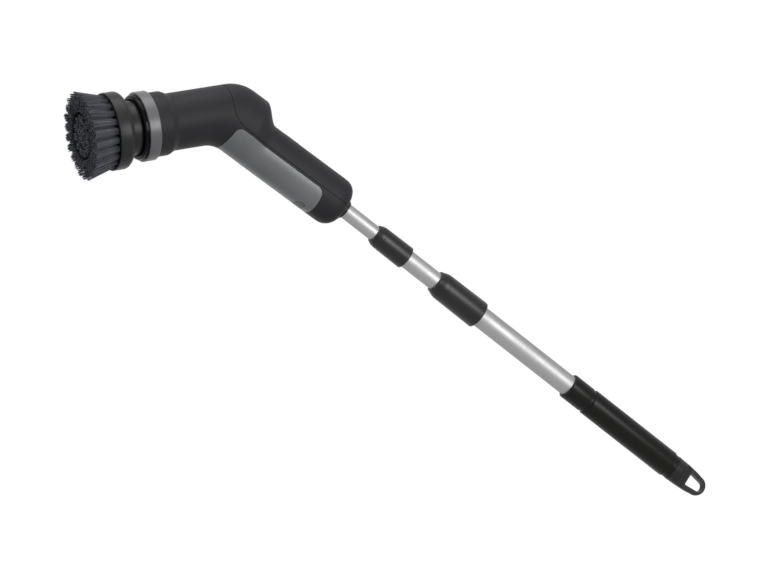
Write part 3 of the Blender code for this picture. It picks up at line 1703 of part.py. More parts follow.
def make_grip(frames):
    """Front ring and long sleeve of the hand grip, each with its narrow seam."""
    pole = frames["pole"]
    bore = OUTER_TUBE_RADIUS + FIT
    start = grip_front_start()
    seam = start + GRIP_FRONT_LENGTH
    groove = OUTER_TUBE_RADIUS + GRIP_GROOVE_WALL
    front_radius = OUTER_TUBE_RADIUS + GRIP_FRONT_WALL
    front = [(bore, seam + GRIP_GROOVE_LENGTH), (groove, seam + GRIP_GROOVE_LENGTH)]
    front += [(groove, seam)]
    front += reversed(rounded_edge(front_radius, seam, -1, 1, GRIP_EDGE, 1))
    front += rounded_edge(front_radius, start, -1, -1, GRIP_EDGE * 2, 2)
    front += [(bore, start)]
    turned("grip_front_ring", front, pole, grip_black())
    start, seam = grip_start(), grip_start() + GRIP_LENGTH
    grip_radius = OUTER_TUBE_RADIUS + GRIP_WALL
    sleeve = [(bore, seam + GRIP_TAIL_LENGTH), (groove, seam + GRIP_TAIL_LENGTH)]
    sleeve += [(groove, seam)]
    sleeve += reversed(rounded_edge(grip_radius, seam, -1, 1, GRIP_EDGE, 1))
    sleeve += rounded_edge(grip_radius, start, -1, -1, GRIP_EDGE, 1)
    sleeve += [(bore, start)]
    turned("grip_sleeve", sleeve, pole, grip_black())


def eye_outline():
    """Outline (rise, along) of the hanging eye: flat towards the grip, round at the tip."""
    middle = cap_start() + EYE_PLACE
    back = middle - EYE_BACK
    corners = (
        (EYE_HALF_WIDTH - EYE_CORNER_RADIUS, back + EYE_CORNER_RADIUS, EYE_CORNER_RADIUS),
        (0, middle + EYE_TIP_PLACE, EYE_TIP_RADIUS),
        (-EYE_HALF_WIDTH + EYE_CORNER_RADIUS, back + EYE_CORNER_RADIUS, EYE_CORNER_RADIUS),
    )
    spans = ((-90, 20), (20, 160), (160, 270))
    points = []
    for (rise, along, radius), (first, last) in zip(corners, spans):
        for step in range(CORNER_STEPS + 1):
            turn = math.radians(blend(first, last, step / CORNER_STEPS))
            points.append((rise + radius * math.cos(turn), along + radius * math.sin(turn)))
    return points


def lug_outline():
    """Outline (across, along) that flattens the cap's end to a lug."""
    start = cap_start()
    wide = OUTER_TUBE_RADIUS + CAP_WALL + CUT_OVERRUN
    blend_start = start + LUG_START - LUG_BLEND_LENGTH
    tip = start + EYE_PLACE + EYE_RADIUS + CUT_OVERRUN
    low = start - CAP_SPIGOT_LENGTH - CUT_OVERRUN
    side = [(wide, low)]
    for step in range(EDGE_STEPS * 2 + 1):
        share = step / (EDGE_STEPS * 2)
        turn = math.pi / 2 * share
        across = blend(wide, LUG_HALF_THICKNESS, math.sin(turn))
        side.append((across, blend_start + LUG_BLEND_LENGTH * (1 - math.cos(turn))))
    side.append((LUG_HALF_THICKNESS, tip))
    return side + [(-across, along) for across, along in reversed(side)]


def make_end_cap(frames):
    """Tapered cap with a spigot in the tube and a flat lug with the hanging eye."""
    pole = frames["pole"]
    start = cap_start()
    middle = start + EYE_PLACE
    spigot = OUTER_TUBE_RADIUS - TUBE_WALL - FIT
    inner = spigot - CAP_SPIGOT_WALL
    profile = []
    for step in range(EDGE_STEPS * 2 + 1):
        turn = math.pi / 2 * (1 - step / (EDGE_STEPS * 2))
        profile.append((EYE_RADIUS * math.cos(turn), middle + EYE_RADIUS * math.sin(turn)))
    profile[0] = (0, middle + EYE_RADIUS)
    shoulder = OUTER_TUBE_RADIUS + CAP_SHOULDER_WALL
    cap_radius = OUTER_TUBE_RADIUS + CAP_WALL
    profile += [
        (blend(shoulder, EYE_RADIUS, 0.5), middle - EYE_RADIUS * 0.6),
        (shoulder, start + CAP_SHOULDER),
    ]
    profile += rounded_edge(cap_radius, start, -1, -1, GRIP_EDGE, 2)
    profile += [
        (spigot, start),
        (spigot, start - CAP_SPIGOT_LENGTH),
        (inner, start - CAP_SPIGOT_LENGTH),
        (inner, start + CAP_SPIGOT_WALL),
        (0, start + CAP_SPIGOT_WALL),
    ]
    cap = turned("end_cap", profile, pole, fitting_black(), TURN_STEPS)
    wide = cap_radius + CUT_OVERRUN
    common(cap, prism("lug_form", lug_outline(), "yz", -wide, wide, pole))
    return cut(cap, prism("eye_form", eye_outline(), "xz", -wide, wide, pole))


def clear_scene():
    for obj in list(bpy.data.objects):
        bpy.data.objects.remove(obj, do_unlink=True)


def main():
    clear_scene()
    frames = make_frames()
    tools = make_housing_tools(frames)
    make_front_housing(frames, tools)
    make_back_cover(frames, tools)
    make_grip_panel(frames, tools)
    make_port_cover(frames, tools)
    make_button(frames, tools)
    make_nose_ring(frames)
    make_nose_bezel(frames)
    make_nose_plate(frames)
    make_bearings(frames)
    make_neck(frames)
    make_output_shaft(frames)
    make_brush_base(frames)
    make_outer_bristles(frames)
    make_inner_bristles(frames)
    make_ring_gear(frames)
    make_gear_train(frames)
    make_carrier(frames)
    make_gearbox_plate(frames)
    make_motor(frames)
    make_battery(frames)
    make_board(frames)
    make_charge_socket(frames)
    make_screws(frames)
    make_pole_socket(frames)
    make_inner_tube(frames)
    make_middle_tube(frames)
    make_twist_locks(frames)
    make_outer_tube(frames)
    make_grip(frames)
    make_end_cap(frames)


main()
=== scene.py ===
"""Looks of a cordless scrub brush with a bent neck on a three-stage telescopic pole.

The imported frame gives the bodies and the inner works. Each class below stands for one
sub-assembly, holds its sizes in metres as fields, builds its visible pieces in fine meshes over
the plain nodes, and dresses them. The brush faces -X and the pole drops towards +X.
"""

import logging
import math
import random
from dataclasses import dataclass, field
from enum import Enum

import bmesh
import bpy
from mathutils import Matrix, Vector


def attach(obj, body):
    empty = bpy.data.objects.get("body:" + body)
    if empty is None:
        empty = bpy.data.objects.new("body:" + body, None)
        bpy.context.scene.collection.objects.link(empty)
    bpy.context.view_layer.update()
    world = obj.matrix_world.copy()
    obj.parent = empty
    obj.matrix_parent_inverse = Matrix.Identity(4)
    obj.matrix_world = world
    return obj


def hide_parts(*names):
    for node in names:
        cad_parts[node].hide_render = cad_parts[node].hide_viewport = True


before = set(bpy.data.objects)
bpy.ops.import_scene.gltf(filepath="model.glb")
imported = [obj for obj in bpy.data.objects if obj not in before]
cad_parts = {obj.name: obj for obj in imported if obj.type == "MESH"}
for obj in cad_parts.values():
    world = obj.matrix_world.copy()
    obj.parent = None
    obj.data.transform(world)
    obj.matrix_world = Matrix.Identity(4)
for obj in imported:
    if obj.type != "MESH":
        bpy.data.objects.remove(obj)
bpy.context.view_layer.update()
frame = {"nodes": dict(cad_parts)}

LOG = logging.getLogger("scrub_brush")

Outline = list[tuple[float, float]]
Colour = tuple[float, float, float]
Pair = tuple[float, float]
Piece = bpy.types.Object
Socket = bpy.types.NodeSocket

SHADERS = ("Principled BSDF", "Background")
NOISE_MIDDLE = (0.3, 0.7)
STRAND_TONE, STRAND_REACH = "strand_tone", "strand_reach"
CLOUD_DETAIL, GRAIN_DETAIL = 3, 2
GOLDEN_TURN = math.radians(137.508)
SHARP_TURN, STRAND_SHARP_TURN = math.radians(32), math.radians(60)
MERGE_REACH = 0.000003
SLOT_ROUNDNESS = 0.98

FIT = 0.0003
POLE_DROP = math.radians(45.0)
HANDLE_DROP = math.radians(43.4)
POLE_REACH = 0.38545
HANDLE_LENGTH = 0.1628
SOCKET_STAND = 0.0030


class Body(Enum):
    """Bodies of the frame that the visible pieces ride on."""

    GRIP = "grip"
    OUTER_COLLAR = "outer_collar"
    MIDDLE = "middle"
    INNER_COLLAR = "inner_collar"
    HEAD = "head"
    DRIVE = "drive"
    BRUSH = "brush"
    BUTTON = "power_button"
    PORT_COVER = "port_cover"


class Slot(Enum):
    """Material slots of the record."""

    FITTING_BLACK = "fitting_black"
    HOUSING_BLACK = "housing_black"
    GLOSS_BLACK = "gloss_black"
    TRIM_GREY = "trim_grey"
    SOFT_GREY = "soft_grey"
    GRIP_BLACK = "grip_black"
    COVER_RUBBER = "cover_rubber"
    BUTTON_RUBBER = "button_rubber"
    SEAL_RUBBER = "seal_rubber"
    BRISTLE_SLATE = "bristle_slate"
    ALUMINIUM = "satin_aluminium"
    STEEL = "steel"
    BRONZE = "bronze"
    NYLON = "nylon"
    MAGNET_GREY = "magnet_grey"
    COPPER = "copper"
    CELL_WRAP = "cell_wrap"
    BOARD_GREEN = "board_green"


class Plane(Enum):
    """Plane of a prism's outline, in an axis's own directions: rise, side and along."""

    RISE_ALONG = "rise_along"
    SIDE_ALONG = "side_along"
    SIDE_RISE = "side_rise"


class Cut(Enum):
    """Exact Boolean operations."""

    TAKE_AWAY = "DIFFERENCE"
    KEEP_SHARED = "INTERSECT"
    ADD = "UNION"


# Small sums


def mix(first: float, last: float, share: float) -> float:
    """Value between two others at a share of the way."""
    return first + (last - first) * share


def ease(share: float) -> float:
    """Smooth step from 0 to 1."""
    share = min(1.0, max(0.0, share))
    return share * share * (3 - 2 * share)


def signed_power(value: float, exponent: float) -> float:
    """Power of a number's size that keeps its sign."""
    return math.copysign(abs(value) ** exponent, value)


def way_down(drop: float) -> Vector:
    """Direction that drops below +X by an angle."""
    return Vector((math.cos(drop), 0, -math.sin(drop)))


@dataclass(frozen=True)
class Axis:
    """Straight axis of the object, which drops below +X by an angle."""

    origin: Vector
    along: Vector
    rise: Vector

    @staticmethod
    def dropping(origin: Vector, drop: float) -> "Axis":
        """Axis of the handle or the pole, with its rise on the outer, upper side."""
        rise = Vector((math.sin(drop), 0, math.cos(drop)))
        return Axis(origin, way_down(drop), rise)

    @property
    def matrix(self) -> Matrix:
        """Placement whose X is the rise and whose Z runs along the axis.

        Returns:
            The placement.
        """
        side = self.along.cross(self.rise)
        turn = Matrix((self.rise, side, self.along)).transposed()
        return Matrix.Translation(self.origin) @ turn.to_4x4()


# Meshes


def make_piece(name: str, maker: bmesh.types.BMesh, place: Matrix) -> Piece:
    """Turn a bmesh into an object at the origin, with its place in its mesh.

    Args:
        name: Name of the new object.
        maker: The mesh in its axis's own directions. It is freed.
        place: Where that axis stands.

    Returns:
        The new object, in the scene.
    """
    bmesh.ops.recalc_face_normals(maker, faces=maker.faces)
    mesh = bpy.data.meshes.new(name)
    maker.to_mesh(mesh)
    maker.free()
    mesh.transform(place)
    piece = bpy.data.objects.new(name, mesh)
    bpy.context.scene.collection.objects.link(piece)
    return piece


def shade(piece: Piece, limit: float = SHARP_TURN) -> Piece:
    """Shade a piece smooth between edges sharper than a limit.

    Args:
        piece: The piece to shade.
        limit: Angle between faces from which an edge stays sharp.

    Returns:
        The same piece.
    """
    piece.data.shade_smooth()
    piece.data.set_sharp_from_angle(angle=limit)
    return piece


def turned(name: str, outline: Outline, axis: Axis, steps: int = 96) -> Piece:
    """Solid turned about an axis.

    Args:
        name: Name of the piece.
        outline: Closed outline of (radius, place along the axis) points.
        axis: The axis to turn about.
        steps: Facets round the axis.

    Returns:
        The shaded piece.
    """
    maker = bmesh.new()
    corners = [maker.verts.new((radius, 0, height)) for radius, height in outline]
    edges = [maker.edges.new(pair) for pair in zip(corners, corners[1:] + corners[:1])]
    bmesh.ops.spin(
        maker,
        geom=corners + edges,
        cent=(0, 0, 0),
        axis=(0, 0, 1),
        angle=2 * math.pi,
        steps=steps,
        use_merge=True,
    )
    bmesh.ops.remove_doubles(maker, verts=maker.verts, dist=MERGE_REACH)
    loose = [edge for edge in maker.edges if not edge.link_faces]
    bmesh.ops.delete(maker, geom=loose, context="EDGES")
    return shade(make_piece(name, maker, axis.matrix))


def prism(
    name: str, outline: Outline, plane: Plane, low: float, high: float, axis: Axis
) -> Piece:
    """Extrude an outline square to its plane.

    Args:
        name: Name of the piece.
        outline: Closed outline in the plane's two directions.
        plane: Which two directions of the axis the outline uses.
        low: Start of the extrusion in the third direction.
        high: End of the extrusion.
        axis: The axis whose directions are used.

    Returns:
        The new piece, unshaded.
    """
    spots = {
        Plane.RISE_ALONG: lambda a, b, depth: (a, depth, b),
        Plane.SIDE_ALONG: lambda a, b, depth: (depth, a, b),
        Plane.SIDE_RISE: lambda a, b, depth: (a, b, depth),
    }
    maker = bmesh.new()
    floor = [maker.verts.new(spots[plane](a, b, low)) for a, b in outline]
    roof = [maker.verts.new(spots[plane](a, b, high)) for a, b in outline]
    maker.faces.new(floor)
    maker.faces.new(roof)
    for index in range(len(outline)):
        after = (index + 1) % len(outline)
        maker.faces.new((floor[index], floor[after], roof[after], roof[index]))
    return make_piece(name, maker, axis.matrix)


def carve(piece: Piece, *steps: tuple[Cut, Piece]) -> Piece:
    """Apply exact Booleans to a piece, in order, and shade the result.

    Args:
        piece: The piece to change.
        steps: Each operation with the object that it uses. Those objects are kept.

    Returns:
        The same piece.
    """
    for operation, other in steps:
        change = piece.modifiers.new(other.name, "BOOLEAN")
        change.operation = operation.value
        change.solver = "EXACT"
        change.object = other
    bpy.context.view_layer.update()
    finished = piece.evaluated_get(bpy.context.evaluated_depsgraph_get())
    mesh = bpy.data.meshes.new_from_object(finished)
    piece.modifiers.clear()
    piece.data = mesh
    return shade(piece)


def drop_tools(*tools: Piece) -> None:
    """Remove cutters that the object doesn't hold."""
    for tool in tools:
        bpy.data.objects.remove(tool, do_unlink=True)


def rounded_edge(
    radius: float, height: float, inward: float, forward: float, size: float, steps: int = 8
) -> Outline:
    """Quarter round between a turned side and its end face.

    Args:
        radius: Radius of the side.
        height: Place of the face.
        inward: -1 where the face lies towards the axis.
        forward: 1 where the face looks along the axis.
        size: Radius of the round.
        steps: Facets of the round.

    Returns:
        Points from the side to the face.
    """
    points = []
    for step in range(steps + 1):
        turn = math.pi / 2 * step / steps
        across = radius + inward * size * (1 - math.cos(turn))
        points.append((across, height - forward * size * (1 - math.sin(turn))))
    return points


def groove(radius: float, place: float, width: float, depth: float, steps: int = 6) -> Outline:
    """Round-bottomed groove of a turned side, in the order of growing places.

    Args:
        radius: Radius of the side.
        place: Middle of the groove along the axis.
        width: Width of its round bottom.
        depth: Its depth.
        steps: Facets of its round.

    Returns:
        Points of the groove.
    """
    points = [(radius, place - width)]
    for step in range(steps + 1):
        turn = math.pi * step / steps
        points.append((radius - depth * math.sin(turn), place - width / 2 * math.cos(turn)))
    return points + [(radius, place + width)]


def rounded_rectangle(
    low_a: float, high_a: float, low_b: float, high_b: float, radius: float, steps: int = 12
) -> Outline:
    """Rectangle outline with quarter-round corners.

    Args:
        low_a: Low end in the first direction.
        high_a: High end in the first direction.
        low_b: Low end in the second direction.
        high_b: High end in the second direction.
        radius: Radius of the corners.
        steps: Facets of each corner.

    Returns:
        The closed outline.
    """
    corners = (
        (high_a - radius, high_b - radius, 0),
        (low_a + radius, high_b - radius, 1),
        (low_a + radius, low_b + radius, 2),
        (high_a - radius, low_b + radius, 3),
    )
    points = []
    for middle_a, middle_b, quarter in corners:
        for step in range(steps + 1):
            turn = math.pi / 2 * (quarter + step / steps)
            points.append((middle_a + radius * math.cos(turn), middle_b + radius * math.sin(turn)))
    return points


def slot_outline(place: float, width: float, length: float) -> Outline:
    """Outline on the middle line with two straight sides and two round ends.

    Args:
        place: Where its middle lies along the axis.
        width: Its size across the axis.
        length: Its size along the axis.

    Returns:
        The closed outline.
    """
    half, reach = width / 2, length / 2
    radius = min(width, length) / 2 * SLOT_ROUNDNESS
    return rounded_rectangle(-half, half, place - reach, place + reach, radius)


# Finishes


class NodeBench:
    """Adds shader nodes to one material or world and joins them."""

    def __init__(self, owner: bpy.types.Material | bpy.types.World) -> None:
        """Start with the owner's own shader.

        Args:
            owner: The material or world to change.
        """
        owner.use_nodes = True
        self.tree = owner.node_tree
        self.shader = next(node for node in self.tree.nodes if node.name in SHADERS)

    def fill(self, node: bpy.types.Node, inputs: dict[str | int, object]) -> None:
        """Set a node's inputs, each to a value or to another node's output.

        Args:
            node: The node to set.
            inputs: Value or other node's output for each input.
        """
        for key, value in inputs.items():
            if isinstance(value, Socket):
                self.tree.links.new(value, node.inputs[key])
            else:
                node.inputs[key].default_value = value

    def add(
        self, kind: str, inputs: dict[str | int, object] | None = None, **settings: object
    ) -> bpy.types.Node:
        """Add a node.

        Args:
            kind: The node's type.
            inputs: Value or other node's output for each input that isn't left as it is.
            settings: Its plain properties.

        Returns:
            The new node.
        """
        node = self.tree.nodes.new(kind)
        for key, value in settings.items():
            setattr(node, key, value)
        self.fill(node, inputs or {})
        return node

    def place(self, stretch: tuple[float, float, float] = (1, 1, 1), turn: float = 0) -> Socket:
        """Object coordinates, turned about Y and stretched.

        Args:
            stretch: Factor in each direction.
            turn: Angle about Y.

        Returns:
            The changed coordinates.
        """
        spot = self.add("ShaderNodeTexCoord").outputs["Object"]
        for key, value in (("Rotation", (0, turn, 0)), ("Scale", stretch)):
            node = self.add("ShaderNodeMapping", {key: value, "Vector": spot}, vector_type="POINT")
            spot = node.outputs["Vector"]
        return spot

    def noise(self, scale: float, detail: float, where: Socket) -> Socket:
        """Noise of about 0 to 1, with so many features to the metre."""
        node = self.add("ShaderNodeTexNoise", {"Scale": scale, "Detail": detail, "Vector": where})
        return node.outputs["Fac"]

    def ranged(self, source: Socket, given: Pair, wanted: Pair, **settings: object) -> Socket:
        """Map a value from a given range to a wanted one.

        Args:
            source: The value.
            given: Its own range.
            wanted: The range that it is mapped to.
            settings: Plain properties of the node.

        Returns:
            The mapped value.
        """
        ends = zip(("From Min", "From Max", "To Min", "To Max"), (*given, *wanted))
        node = self.add("ShaderNodeMapRange", {**dict(ends), "Value": source}, **settings)
        return node.outputs["Result"]

    def spread(self, source: Socket, low: float, high: float) -> Socket:
        """Map the middle of a noise's range to low and high."""
        return self.ranged(source, NOISE_MIDDLE, (low, high))

    def blend(self, share: Socket, first: Colour | Socket, last: Colour | Socket) -> Socket:
        """Colour that goes from the first to the last as the share goes from 0 to 1.

        Args:
            share: Share of the way.
            first: Colour at 0.
            last: Colour at 1.

        Returns:
            The mixed colour.
        """
        start, end = (item if isinstance(item, Socket) else (*item, 1) for item in (first, last))
        inputs = {"Factor": share, "A": start, "B": end}
        return self.add("ShaderNodeMix", inputs, data_type="RGBA").outputs["Result"]

    def bump(self, height: Socket, depth: float) -> Socket:
        """Normal disturbed by a height, with the depth in metres."""
        inputs = {"Strength": 1.0, "Distance": depth, "Height": height}
        return self.add("ShaderNodeBump", inputs).outputs["Normal"]

    def seen(self) -> Socket:
        """Share that is 1 for what the camera, a reflection or glass shows.

        Returns:
            The share.
        """
        path = self.add("ShaderNodeLightPath").outputs
        share = path["Is Camera Ray"]
        for ray in ("Is Glossy Ray", "Is Transmission Ray"):
            node = self.add("ShaderNodeMath", {0: share, 1: path[ray]}, operation="MAXIMUM")
            share = node.outputs[0]
        return share


def scaled(colour: Colour, share: float) -> Colour:
    """Colour made lighter or darker by a share."""
    return tuple(min(1.0, channel * share) for channel in colour)


@dataclass(frozen=True)
class Finish:
    """Moulded, cast or rubber surface with a fine grain, faint mottling and rubbed edges."""

    slot: Slot
    colour: Colour
    roughness: float
    metallic: float = 0.0
    specular: float = 0.35
    grain: float = 2600.0
    grain_depth: float = 2e-5
    patch_size: float = 3
    mottling: float = 0.08
    cloud: float = 26.0
    uneven: Pair = (0.9, 1.1)
    edges: Pair = (0.53, 0.62)
    wear: float = 0.25
    worn_share: float = 1.8
    tag: str = ""

    def mottled(self, bench: NodeBench, share: Socket) -> Socket:
        """Colour that varies a little with a noise."""
        low, high = scaled(self.colour, 1 - self.mottling), scaled(self.colour, 1 + self.mottling)
        return bench.blend(bench.spread(share, 0, 1), low, high)

    def roughened(self, bench: NodeBench, share: Socket) -> Socket:
        """Roughness that varies a little with a noise."""
        low, high = self.uneven
        return bench.spread(share, self.roughness * low, self.roughness * high)

    def surface(self, bench: NodeBench) -> dict[str, Socket]:
        """Colour, roughness and normal.

        Args:
            bench: Bench of the new material.

        Returns:
            The output that goes to each of the shader's inputs.
        """
        where = bench.place()
        tone = self.mottled(bench, bench.noise(self.cloud, CLOUD_DETAIL, where))
        pointiness = bench.add("ShaderNodeNewGeometry").outputs["Pointiness"]
        rubbed = bench.ranged(pointiness, self.edges, (0, self.wear))
        patches = bench.noise(self.grain / self.patch_size, GRAIN_DETAIL, where)
        grain = bench.noise(self.grain, GRAIN_DETAIL, where)
        return {
            "Base Color": bench.blend(rubbed, tone, scaled(self.colour, self.worn_share)),
            "Roughness": self.roughened(bench, patches),
            "Normal": bench.bump(grain, self.grain_depth),
        }

    def build(self) -> bpy.types.Material:
        """Make the material, named after its slot.

        Returns:
            The new material.
        """
        material = bpy.data.materials.new(f"{self.slot.value}{self.tag}_finish")
        bench = NodeBench(material)
        bench.fill(bench.shader, {"Metallic": self.metallic, "Specular IOR Level": self.specular})
        bench.fill(bench.shader, self.surface(bench))
        return material


@dataclass(frozen=True)
class DrawnFinish(Finish):
    """Drawn and anodised tube with fine lines that run along it."""

    grain: float = 3200.0
    cloud: float = 40.0
    band: float = 420.0
    uneven: Pair = (0.9, 1.12)
    turn: float = 0.0
    line_stretch: float = 0.012
    line_detail: float = 3

    def surface(self, bench: NodeBench) -> dict[str, Socket]:
        """Colour, roughness and normal, with the lines along the pole.

        Args:
            bench: Bench of the new material.

        Returns:
            The output that goes to each of the shader's inputs.
        """
        where = bench.place((1, 1, self.line_stretch), self.turn)
        cloud = bench.noise(self.cloud, CLOUD_DETAIL, bench.place())
        lines = bench.noise(self.grain, self.line_detail, where)
        return {
            "Base Color": self.mottled(bench, bench.noise(self.band, GRAIN_DETAIL, where)),
            "Roughness": self.roughened(bench, cloud),
            "Normal": bench.bump(lines, self.grain_depth),
        }


@dataclass(frozen=True)
class StrandFinish(Finish):
    """Nylon strands, each a little different, with painted shade darkening them towards the root.
    """

    uneven: Pair = (0.85, 1.15)
    tones: Pair = (0.60, 2.20)
    root_shade_share: float = 0.25
    root_shade_reach: float = 0.45

    def surface(self, bench: NodeBench) -> dict[str, Socket]:
        """Colour, roughness and normal, from the tone and reach that each strand carries, with
        painted shade darkening each strand towards its root.

        Args:
            bench: Bench of the new material.

        Returns:
            The output that goes to each of the shader's inputs.
        """
        tone, reach = (
            bench.add("ShaderNodeAttribute", attribute_name=title).outputs["Fac"]
            for title in (STRAND_TONE, STRAND_REACH)
        )
        low, high = (scaled(self.colour, share) for share in self.tones)
        # Painted shade: each strand's colour darkens towards its root, where the tufts shade each
        # other.
        out_of_root_shade = bench.ranged(reach, (0, self.root_shade_reach), (0, 1), interpolation_type="SMOOTHSTEP")
        root = scaled(self.colour, self.root_shade_share)
        grain = bench.noise(self.grain, GRAIN_DETAIL, bench.place())
        return {
            "Base Color": bench.blend(out_of_root_shade, root, bench.blend(tone, low, high)),
            "Roughness": self.roughened(bench, grain),
            "Normal": bench.bump(grain, self.grain_depth),
        }


FINISHES = (
    Finish(Slot.HOUSING_BLACK, (0.025, 0.025, 0.027), 0.48, specular=0.07),
    Finish(Slot.FITTING_BLACK, (0.021, 0.021, 0.021), 0.34, specular=0.12, grain_depth=1e-5),
    Finish(Slot.GLOSS_BLACK, (0.003, 0.003, 0.003), 0.18, specular=0.06, grain_depth=2e-6),
    Finish(Slot.TRIM_GREY, (0.108, 0.108, 0.116), 0.33, specular=0.31, grain_depth=1e-5),
    Finish(
        Slot.SOFT_GREY, (0.130, 0.134, 0.139), 0.38, specular=0.38, grain=1900, grain_depth=1e-5
    ),
    Finish(
        Slot.GRIP_BLACK, (0.004, 0.004, 0.0035), 0.32, specular=0.13, grain=1500, grain_depth=6e-6
    ),
    Finish(Slot.COVER_RUBBER, (0.122, 0.126, 0.130), 0.50, specular=0.20),
    Finish(Slot.BUTTON_RUBBER, (0.045, 0.045, 0.05), 0.60, specular=0.25),
    Finish(Slot.SEAL_RUBBER, (0.02, 0.02, 0.02), 0.80),
    StrandFinish(Slot.BRISTLE_SLATE, (0.078, 0.083, 0.099), 0.50, specular=0.25),
    DrawnFinish(
        Slot.ALUMINIUM,
        (0.288, 0.288, 0.289),
        0.50,
        metallic=1.0,
        specular=0.5,
        mottling=0.03,
        grain_depth=1e-6,
        turn=POLE_DROP - math.pi / 2,
    ),
    Finish(Slot.STEEL, (0.50, 0.50, 0.52), 0.35, metallic=1.0, specular=0.5, grain_depth=6e-6),
    Finish(Slot.BRONZE, (0.45, 0.30, 0.14), 0.50, metallic=1.0, specular=0.5),
    Finish(Slot.NYLON, (0.60, 0.60, 0.57), 0.50),
    Finish(Slot.MAGNET_GREY, (0.06, 0.06, 0.065), 0.60),
    Finish(Slot.COPPER, (0.72, 0.32, 0.16), 0.35, metallic=1.0, specular=0.5),
    Finish(Slot.CELL_WRAP, (0.03, 0.20, 0.35), 0.35),
    Finish(Slot.BOARD_GREEN, (0.02, 0.16, 0.06), 0.45),
)

COLLAR_FINISH = Finish(
    Slot.FITTING_BLACK, (0.003, 0.003, 0.003), 0.37, specular=0.29, grain_depth=3e-6, tag="_collar"
)
COLLARS = ("inner_collar", "outer_collar")


class Dresser:
    """Keeps the finishes, gives each piece the finish of its slot and its body, and hides the
    nodes it stands for.
    """

    def __init__(self) -> None:
        """Make all materials once."""
        self.materials = {finish.slot: finish.build() for finish in FINISHES}
        self.special = dict.fromkeys(COLLARS, COLLAR_FINISH.build())

    def dress(self, piece: Piece, slot: Slot, body: Body, *nodes: str) -> Piece:
        """Finish a piece and hang it on its body.

        Args:
            piece: The piece, in its place.
            slot: Its material slot.
            body: The body that it moves with.
            nodes: Nodes of the frame that it stands for.

        Returns:
            The same piece.
        """
        piece.data.materials.clear()
        finish = self.special.get(nodes[0]) if nodes else None
        piece.data.materials.append(finish or self.materials[slot])
        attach(piece, body.value)
        if nodes:
            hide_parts(*nodes)
        LOG.info("%s on %s, %d faces", piece.name, body.value, len(piece.data.polygons))
        return piece

    def dress_nodes(self, nodes: dict[str, Piece]) -> None:
        """Give the nodes that stay visible, and those inside, their finishes.

        Args:
            nodes: The frame's nodes by name.
        """
        by_name = {slot.value: material for slot, material in self.materials.items()}
        for node in nodes.values():
            for holder in node.material_slots:
                name = holder.material.name.split(".")[0] if holder.material else ""
                if name in by_name:
                    holder.material = by_name[name]


# Housing


@dataclass
class Station:
    """Cross-section of the housing, in the plane that holds `up` and the Y direction."""

    foot: Vector
    up: Vector
    low: float
    high: float
    half_width: float
    power: float


